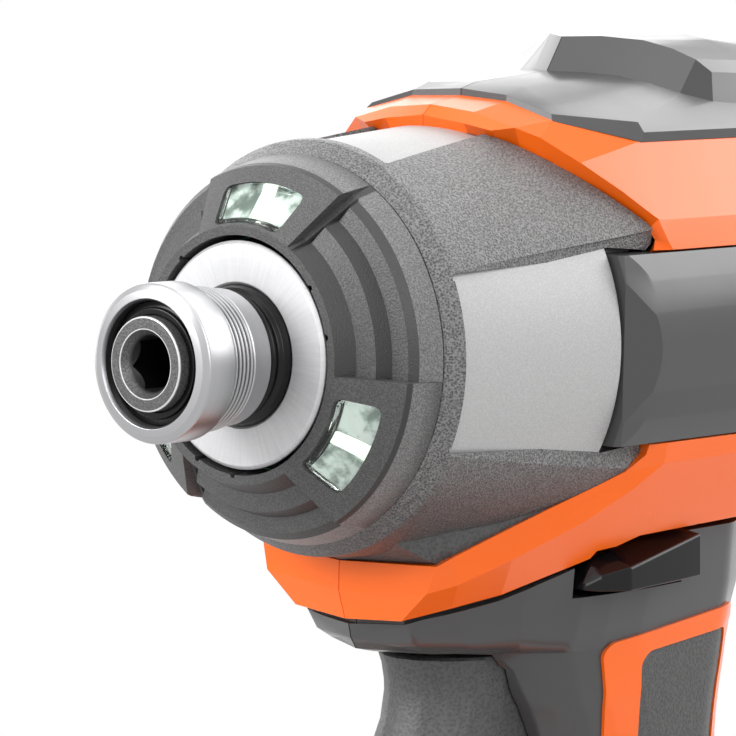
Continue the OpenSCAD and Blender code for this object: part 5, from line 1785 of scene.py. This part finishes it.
    def foot(self) -> None:
        """The foot that the pack slides on to."""
        rows = [chamfered(front, rear, half, 8.0, z) for z, front, rear, half in self.foot_rows]
        foot = Piece("foot_shell", Shape().loft(rows))
        x, z = self.insert
        cuts = [
            Shape().prism(rectangle(*self.rail_slot), Axis.X, -135.0, 0.0),
            Shape().prism(rectangle(*self.rail_mouth), Axis.X, -135.0, 0.0),
            Shape().prism(rectangle(*self.foot_seam), Axis.Y, -self.seam_half, self.seam_half),
            rod(self.button_hole, Axis.Z, (*self.button, 0.0), -132.0, -115.0),
            rod(self.insert_hole, Axis.Y, (x, 0.0, z), 28.0, BESIDE),
            rod(self.insert_hole, Axis.Y, (x, 0.0, z), -BESIDE, -28.0),
        ]
        foot.combined("DIFFERENCE", cuts + screw_wells(self.foot_screws))
        foot.eased(0.8, 12, 3).dressed("orange_case", Body.HOUSING, ["left_housing", "right_housing"])

    def build(self) -> None:
        """Builds the pieces."""
        self.skin()
        self.panels()
        self.foot()


# Controls


@dataclass(frozen=True)
class Controls:
    """The trigger, the selector through the neck and the button on the foot."""

    # The trigger's front edge as (z, x)
    trigger_front: tuple[Flat, ...] = (
        (-44.0, -50.2), (-44.4, -49.6), (-46.0, -50.4), (-48.5, -51.0), (-50.0, -51.1), (-54.0, -50.4),
        (-58.0, -48.4), (-62.0, -47.2), (-66.5, -46.6), (-68.6, -47.0), (-69.9, -49.0), (-70.5, -52.0),
    )
    # How far the front falls back at each half width
    trigger_round: tuple[Flat, ...] = (
        (0.0, 0.0), (3.2, 0.8), (6.0, 2.8), (8.0, 5.4), (9.2, 8.0), (9.6, 10.5)
    )
    trigger_back: tuple[Flat, ...] = ((-67.0, 9.6), (-69.0, 9.0), (-69.4, 0.0))
    # The trigger's stem: its ends, radius and height
    stem_ends: Flat = (-81.0, -69.0)
    stem_r: float = 3.0
    stem_z: float = -52.0
    # The selector's bar seen from the side, and its half length
    bar: tuple[Flat, ...] = ((-86.4, -34.6), (-67.0, -34.6), (-67.0, -31.4), (-70.0, -30.0), (-86.4, -30.0))
    bar_half: float = 18.5
    # The mode button's cap as (height, radius)
    cap: tuple[Flat, ...] = (
        (-129.0, 0.0), (-129.0, 3.9), (-121.6, 3.9), (-120.8, 3.2), (-120.8, 2.2), (-121.1, 1.8),
        (-121.1, 0.0),
    )
    # The selector's knob as sections (x, then y and z of each corner)
    knob: tuple[tuple[float, tuple[Flat, ...]], ...] = (
        (-64.8, (
            (18.0, -33.1), (20.2, -33.1), (20.8, -33.3), (20.8, -34.0), (20.2, -34.1), (18.0, -34.1),
        )),
        (-66.8, (
            (18.0, -30.3), (20.0, -30.2), (22.2, -32.2), (22.2, -34.3), (20.2, -34.2), (18.0, -34.2),
        )),
        (-70.9, (
            (18.0, -29.1), (20.0, -29.0), (24.0, -31.2), (24.2, -34.4), (20.0, -34.4), (18.0, -34.4),
        )),
        (-81.4, (
            (18.0, -27.7), (20.0, -27.6), (24.2, -28.9), (24.4, -34.0), (20.0, -34.4), (18.0, -34.4),
        )),
        (-86.8, (
            (18.0, -27.4), (20.0, -27.3), (24.0, -27.8), (24.2, -33.8), (20.0, -34.4), (18.0, -34.4),
        )),
    )

    def trigger(self) -> None:
        """The trigger, rounded seen from above."""
        rows = []
        for z, front in self.trigger_front:
            half = [(front - back, y) for y, back in self.trigger_round]
            half += self.trigger_back
            half = filleted(half, [0, 3, 3, 3, 3, 3, 0.5, 0.5, 0], 3)
            rows.append([(x, y, z) for x, y in whole(half)])
        (rear, front), radius = self.stem_ends, self.stem_r
        stem = [(rear, 0.0), (rear, radius), (front, radius), (front, 0.0)]
        shape = Shape().loft(rows).turned(stem, 48, at=(0.0, 0.0, self.stem_z))
        Piece("trigger_blade", shape).eased(0.3, 40, 3).dressed(
            "trigger_grey", Body.TRIGGER, ["trigger"], "control_black"
        )

    def selector(self) -> None:
        """The bar through the neck with a knob at each end."""
        shape = Shape().prism(self.bar, Axis.Y, -self.bar_half, self.bar_half)
        for side in (1, -1):
            shape.loft([[(x, side * y, z) for y, z in corners] for x, corners in self.knob])
        knob = Piece("selector_knob", shape)
        knob.eased(0.35, 14, 3).dressed("control_black", Body.SELECTOR, ["direction_selector"])

    def button(self) -> None:
        """The mode button."""
        outline = filleted(self.cap, [0, 0, 0.3, 0.4, 0.2, 0.2, 0], 3)
        shape = Shape().turned(outline, 64, Axis.Z, (*Handle.button, 0.0))
        Piece("mode_cap", shape).eased(0, 35).dressed("grey_skin", Body.MODE, ["mode_button"])

    def build(self) -> None:
        """Builds the pieces."""
        self.trigger()
        self.selector()
        self.button()


# Battery pack


@dataclass(frozen=True)
class Pack:
    """The pack's two shells with their latches, gauge and screws' seats."""

    cut: float = 7.0
    latch_x: float = -77.0
    latch_z: float = S.deck_z - 5.7
    gauge_z: float = S.deck_z - 12.0
    gauge_y: float = 12.0
    # Places of the gauge's small windows
    gauge_windows: tuple[float, ...] = (-13.0, -8.0, -3.0, 2.0)
    # A latch: half lengths of its foot and its grip, half height, ridges
    latch_foot: float = 16.0
    latch_grip: float = 13.6
    latch_half: float = 2.0
    grips: int = 5
    # Half width of the recesses in the lower shell's ends, and half width and height of the ribs in them
    end_half: float = 24.0
    rib_half: Flat = (20.0, 0.5)
    ribs: int = 6
    screw_y: float = 20.0
    screw_in: float = 5.2
    # The tower with the rails seen from the front, its ends, and the contacts' slots in it
    tower: tuple[Flat, ...] = (
        (-22.0, -145.5), (22.0, -145.5), (22.0, -137.0), (26.0, -137.0), (26.0, -135.0), (-26.0, -135.0),
        (-26.0, -137.0), (-22.0, -137.0),
    )
    tower_ends: Flat = (-134.4, -45.0)
    slots: tuple[float, ...] = (-16.0, -8.0, 0.0, 8.0, 16.0)

    @property
    def front(self) -> float:
        """The pack's front end."""
        return S.battery_x + S.pack_len / 2

    @property
    def rear(self) -> float:
        """The pack's rear end."""
        return S.battery_x - S.pack_len / 2

    def shell(self, levels: Sequence[Flat]) -> Shape:
        """The shell lofted through outlines, each with its height and inset."""
        half = S.pack_w / 2
        return Shape().loft(
            [chamfered(self.front - i, self.rear + i, half - i, self.cut - 0.6 * i, z) for z, i in levels]
        )

    def screw_places(self) -> list[Flat]:
        """Where the four screws come in from below."""
        ends = (self.front - self.screw_in, self.rear + self.screw_in)
        return [(x, y) for x in ends for y in (-self.screw_y, self.screw_y)]

    def recess(self, outline: Sequence[Flat], side: int, depth: float) -> Shape:
        """What is taken out of a side, 1 for the left and -1 for the right, down to a depth."""
        low, high = sorted((side * (S.pack_w / 2 - depth), side * (S.pack_w / 2 + 5.0)))
        return Shape().prism(filleted(outline, 2.0, 5, closed=True), Axis.Y, low, high)

    def lower(self) -> None:
        """The lower shell with recessed sides."""
        levels = [(S.base_z, 2.2), (S.base_z + 2.2, 0.0), (S.split_z - 0.5, 0.0), (S.split_z - 0.05, 0.45)]
        piece = Piece("lower_shell", self.shell(levels))
        low, high = S.base_z + 5.0, S.split_z - 4.5
        side = [
            (self.rear + 12.0, low), (self.front - 18.0, low), (self.front - 10.0, high),
            (self.rear + 12.0, high),
        ]
        cuts = [self.recess(side, k, 0.9) for k in (1, -1)]
        cuts += [
            rod(SCREW_HOLE, Axis.Z, (x, y, 0.0), S.base_z - 5.0, S.base_z + 2.2)
            for x, y in self.screw_places()
        ]
        outline = filleted(rectangle(-self.end_half, self.end_half, low, high), 2.0, 5, closed=True)
        cuts.append(Shape().prism(outline, Axis.X, self.front - 0.8, self.front + 5.0))
        cuts.append(Shape().prism(outline, Axis.X, self.rear - 5.0, self.rear + 0.8))
        piece.combined("DIFFERENCE", cuts)
        piece.eased(0.7, 12, 3).dressed("pack_grey", Body.BATTERY, ["battery_lower_shell"])
        ribs = Shape()
        wide, thick = self.rib_half
        for k in range(self.ribs):
            z = low + 2.4 + k * (high - low - 4.8) / (self.ribs - 1)
            outline = rectangle(-wide, wide, z - thick, z + thick)
            for end in (self.front - 0.85, self.rear):
                ribs.prism(outline, Axis.X, end, end + 1.0)
        Piece("pack_ribs", ribs).eased(0.2, 30, 2).dressed("pack_grey", Body.BATTERY)

    def upper(self) -> None:
        """The upper shell with the rails."""
        levels = [(S.split_z + 0.05, 0.45), (S.split_z + 0.5, 0.0), (S.deck_z - 2.2, 0.0), (S.deck_z, 1.6)]
        piece = Piece("upper_shell", self.shell(levels))
        cuts = []
        x, z = self.latch_x, self.latch_z
        for side in (1, -1):
            low, high = sorted((side * (S.pack_w / 2 - 4.0), side * 50.0))
            hole = rectangle(x - 14.0, x + 14.0, z - 2.4, z + 2.4)
            cuts.append(Shape().prism(hole, Axis.Y, low, high))
            dip = [(x - 19.0, z - 8.0), (x + 19.0, z - 8.0), (x + 16.5, z + 3.6), (x - 16.5, z + 3.6)]
            cuts.append(self.recess(dip, side, 1.0))
        cuts.append(rod(3.2, Axis.X, (0.0, self.gauge_y, self.gauge_z), self.front - 5.5, self.front + 5.0))
        y0, y1 = self.gauge_windows[0] - 3.2, self.gauge_y + 5.6
        plate = rectangle(y0, y1, self.gauge_z - 4.8, self.gauge_z + 4.8)
        plate = filleted(plate, 2.2, 5, closed=True)
        cuts.append(Shape().prism(plate, Axis.X, self.front - 0.6, self.front + 5.0))
        piece.combined("DIFFERENCE", cuts)
        piece.eased(0.7, 12, 3).dressed("pack_black", Body.BATTERY, ["battery_upper_shell"])
        rail = Piece("rail_tower", Shape().prism(self.tower, Axis.X, *self.tower_ends))
        slots = []
        for y in self.slots:
            outline = rectangle(y - 1.0, y + 1.0, -143.0, -137.8)
            slots.append(Shape().prism(outline, Axis.X, -140.0, -118.0))
        rail.combined("DIFFERENCE", slots).eased(0.4, 30, 3).dressed("pack_black", Body.BATTERY)

    def gauge(self) -> None:
        """The gauge's button and its four small windows."""
        cap = [
            (self.front - 3.5, 0.0), (self.front - 3.5, 2.95), (self.front + 1.3, 2.95),
            (self.front + 1.3, 0.0),
        ]
        shape = Shape().turned(filleted(cap, [0, 0, 0.5, 0], 4), 64, at=(0.0, self.gauge_y, self.gauge_z))
        Piece("gauge_cap", shape).eased(0, 35).dressed("white_plastic", Body.GAUGE, ["gauge_button"])
        for index, y in enumerate(self.gauge_windows):
            outline = rectangle(y - 1.7, y + 1.7, self.gauge_z - 1.1, self.gauge_z + 1.1)
            outline = filleted(outline, 0.6, 4, closed=True)
            shape = Shape().prism(outline, Axis.X, self.front - 1.4, self.front - 0.3)
            Piece(f"gauge_window_{index}", shape).eased(0.15, 40).dressed(
                "gauge_lens", Body.BATTERY, (), "lens"
            )

    def latches(self) -> None:
        """The ridged latch on each side."""
        x, z, out = self.latch_x, self.latch_z, S.pack_w / 2
        deep, edge, face, ridge = out - 4.3, out - 2.4, out + 0.6, out + 1.2
        foot, grip = self.latch_foot, self.latch_grip
        step = 2 * grip / (self.grips + 1)
        for side, name, body in ((1, "left", Body.LEFT_LATCH), (-1, "right", Body.RIGHT_LATCH)):
            profile = [(deep, -foot), (edge, -foot), (edge, -grip), (face, -grip)]
            for k in range(1, self.grips + 1):
                at = -grip + k * step
                profile += [(face, at - 1.5), (ridge, at - 0.7), (ridge, at + 0.7), (face, at + 1.5)]
            profile += [(face, grip), (edge, grip), (edge, foot), (deep, foot)]
            outline = [(x + along, side * y) for y, along in profile]
            shape = Shape().prism(outline, Axis.Z, z - self.latch_half, z + self.latch_half)
            Piece(f"{name}_latch_grip", shape).eased(0.25, 30, 3).dressed(
                "pack_grey", body, [f"{name}_latch"]
            )

    def build(self) -> None:
        """Builds the pieces."""
        self.lower()
        self.upper()
        self.gauge()
        self.latches()


# Belt hook


@dataclass(frozen=True)
class Hook:
    """The bent steel belt hook on the foot's left side and its screw."""

    x: float = -92.0
    width: float = 14.0
    side: float = 36.05

    def build(self) -> None:
        """Builds the hook and the screw."""
        f, w = S.foot_z, self.side
        strip = [
            (w, f + 0.6), (w + 2, f + 0.6), (w + 2, f + 12.8), (w + 13, f + 18), (w + 13, f + 55),
            (w + 9.6, f + 59), (w + 8.2, f + 57.6), (w + 11, f + 54.2), (w + 11, f + 19.4), (w, f + 14.2),
        ]
        radii = [0.2, 0.5, 2.5, 3.5, 3.0, 0.5, 0.5, 1.5, 2.0, 1.0]
        outline = filleted(strip, radii, 5, closed=True)
        strip = Shape().prism(outline, Axis.X, self.x - self.width / 2, self.x + self.width / 2)
        hook = Piece("hook_strip", strip)
        hook.combined("DIFFERENCE", [rod(1.75, Axis.Y, (self.x, 0.0, f + 6.0), w - 1.0, w + 4.0)])
        hook.eased(0.3, 30, 3).dressed("hook_steel", Body.HOUSING, ["belt_hook"])
        head = [
            (w + 2.05, 1.6), (w + 2.05, 4.0), (w + 3.5, 4.0), (w + 4.4, 3.0), (w + 4.4, 0.0), (w - 7.0, 0.0),
            (w - 7.0, 1.6),
        ]
        place = (self.x, 0.0, f + 6.0)
        shape = Shape().turned(filleted(head, [0, 0.2, 0.5, 0.6, 0, 0, 0], 4), 64, Axis.Y, place)
        hexagon = rod(1.7, Axis.Y, place, w + 3.2, w + 9, 6)
        screw = Piece("hook_screw", shape).combined("DIFFERENCE", [hexagon])
        screw.eased(0.12, 35, 2).dressed("screw_steel", Body.HOUSING, ["belt_hook_screw"])


# Pieces that keep the solid model's form


def dress_frame(frame: dict) -> None:
    """Args:
    frame: The loaded solid model.
    """
    slots = {entry["node"]: entry["material_slot"] for entry in frame["record"]["subparts"]}
    for name, thing in frame["nodes"].items():
        key = slots.get(name, "plate")
        if key not in FINISHES:
            key = "plate"
        thing.data.materials.clear()
        thing.data.materials.append(material(key))


# Stage


@dataclass(frozen=True)
class Lamp:
    """A square softbox that points at the middle of the object."""

    name: str
    towards: Point
    away: float
    width: float
    power: float

    def hung(self, middle: Vector) -> None:
        """Args:
        middle: What it points at.
        """
        data = bpy.data.lights.new(self.name, "AREA")
        data.shape = "SQUARE"
        data.size = self.width
        data.energy = self.power
        # Lamps light the object and stay out of the picture
        lamp = bpy.data.objects.new(self.name, data)
        lamp.location = middle + Vector(self.towards).normalized() * self.away
        lamp.rotation_euler = (-Vector(self.towards)).to_track_quat("-Z", "Y").to_euler()
        lamp.visible_camera = False
        bpy.context.scene.collection.objects.link(lamp)


@dataclass(frozen=True)
class Stage:
    """The floor, the surround, the softboxes and the camera."""

    middle: Point = (0.03, 0.0, 0.19)
    camera_place: Point = (0.52055, 0.41481, 0.25981)
    camera_right: Point = (-0.6617, 0.7495, 0.0197)
    camera_up: Point = (-0.068, -0.0862, 0.994)
    camera_back: Point = (0.7467, 0.6563, 0.108)
    focal: float = 4635.9
    frame_width: float = 736.0
    sensor: float = 36.0
    # How far out the floor begins and stops to turn into the surround, with the surround's share at each
    fade: Box = (0.25, 0.8, 0.8, 1.0)
    reach: float = 60.0
    daylight: float = 0.2
    lamps: tuple[Lamp, ...] = (
        Lamp("key", (0.80, -0.42, 0.42), 1.35, 0.8, 17.0),
        Lamp("top", (0.15, 0.05, 0.98), 1.0, 1.1, 5.0),
        Lamp("side", (0.5, 0.75, 0.45), 1.35, 0.9, 8.5),
        Lamp("rear_left", (-0.75, 0.47, 0.47), 1.3, 0.8, 9.0),
        Lamp("rear_top", (-0.75, -0.1, 0.65), 1.3, 0.7, 4.5),
        Lamp("rear_right", (-0.5, -0.82, 0.3), 1.3, 1.2, 7.0),
    )

    def camera(self) -> None:
        """Puts the camera at the photograph's place and angle."""
        data = bpy.data.cameras.new("camera")
        data.sensor_width = self.sensor
        data.lens = self.sensor * self.focal / self.frame_width
        data.clip_start, data.clip_end = 0.05, 200.0
        camera = bpy.data.objects.new("camera", data)
        columns = Matrix((self.camera_right, self.camera_up, self.camera_back)).transposed()
        turned = columns.to_quaternion().to_matrix().to_4x4()
        camera.matrix_world = Matrix.Translation(self.camera_place) @ turned
        bpy.context.scene.collection.objects.link(camera)
        bpy.context.scene.camera = camera

    def floor(self) -> None:
        """A pale floor that runs to the horizon and keeps the object's shadow."""
        tree = Tree("floor")
        rays = tree.node("ShaderNodeLightPath", {}, {}).outputs
        seen = Wire(tree, rays["Is Camera Ray"]) + Wire(tree, rays["Is Glossy Ray"])
        seen = (seen + Wire(tree, rays["Is Transmission Ray"])).clamped()
        away = tree.node("ShaderNodeVectorMath", {"operation": "LENGTH"}, {0: tree.place}).outputs["Value"]
        share = Wire(tree, away).mapped(*self.fade)
        paint = tree.node("ShaderNodeBsdfDiffuse", {}, {"Color": (0.6, 0.6, 0.6)})
        glow = tree.node("ShaderNodeEmission", {}, {"Color": (1.0, 1.0, 1.0), "Strength": 1.0})
        inputs = {0: seen * share, 1: paint.outputs[0], 2: glow.outputs[0]}
        both = tree.node("ShaderNodeMixShader", {}, inputs)
        tree.material.node_tree.links.new(both.outputs[0], tree.output.inputs[0])
        far = self.reach / MM
        shape = Shape()
        corners = ((-far, -far), (far, -far), (far, far), (-far, far))
        shape.mesh.faces.new(shape.ring([(x, y, S.base_z) for x, y in corners]))
        ground = shape.made("floor")
        ground.data.materials.append(tree.material)

    def surround(self) -> None:
        """A white surround that lights the object plainly."""
        world = bpy.data.worlds.new("surround")
        world.use_nodes = True
        bpy.context.scene.world = world
        nodes, links = world.node_tree.nodes, world.node_tree.links
        nodes.clear()
        output = nodes.new("ShaderNodeOutputWorld")
        rays = nodes.new("ShaderNodeLightPath")
        plain, white = nodes.new("ShaderNodeBackground"), nodes.new("ShaderNodeBackground")
        for node, strength in ((plain, self.daylight), (white, 1.0)):
            node.inputs["Color"].default_value = (1.0, 1.0, 1.0, 1.0)
            node.inputs["Strength"].default_value = strength
        total = rays.outputs["Is Camera Ray"]
        for kind in ("Is Glossy Ray", "Is Transmission Ray"):
            joined = nodes.new("ShaderNodeMath")
            joined.use_clamp = True
            links.new(total, joined.inputs[0])
            links.new(rays.outputs[kind], joined.inputs[1])
            total = joined.outputs[0]
        mix = nodes.new("ShaderNodeMixShader")
        links.new(total, mix.inputs[0])
        links.new(plain.outputs[0], mix.inputs[1])
        links.new(white.outputs[0], mix.inputs[2])
        links.new(mix.outputs[0], output.inputs[0])

    def build(self) -> None:
        """Sets up all of it."""
        self.camera()
        self.floor()
        self.surround()
        for lamp in self.lamps:
            lamp.hung(Vector(self.middle))


def main() -> None:
    """Builds the scene."""
    logging.basicConfig(level=logging.INFO, format="%(message)s")
    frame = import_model()
    bpy.context.scene.view_settings.view_transform = "Standard"
    Stage().build()
    dress_frame(frame)
    for assembly in (
        Chuck(), HammerCase(), Nose(), Cover(), Head(), Belly(), Handle(), Controls(), Pack(), Hook()
    ):
        assembly.build()
        LOG.info("built: %s", type(assembly).__name__)


if __name__ == "__main__":
    main()
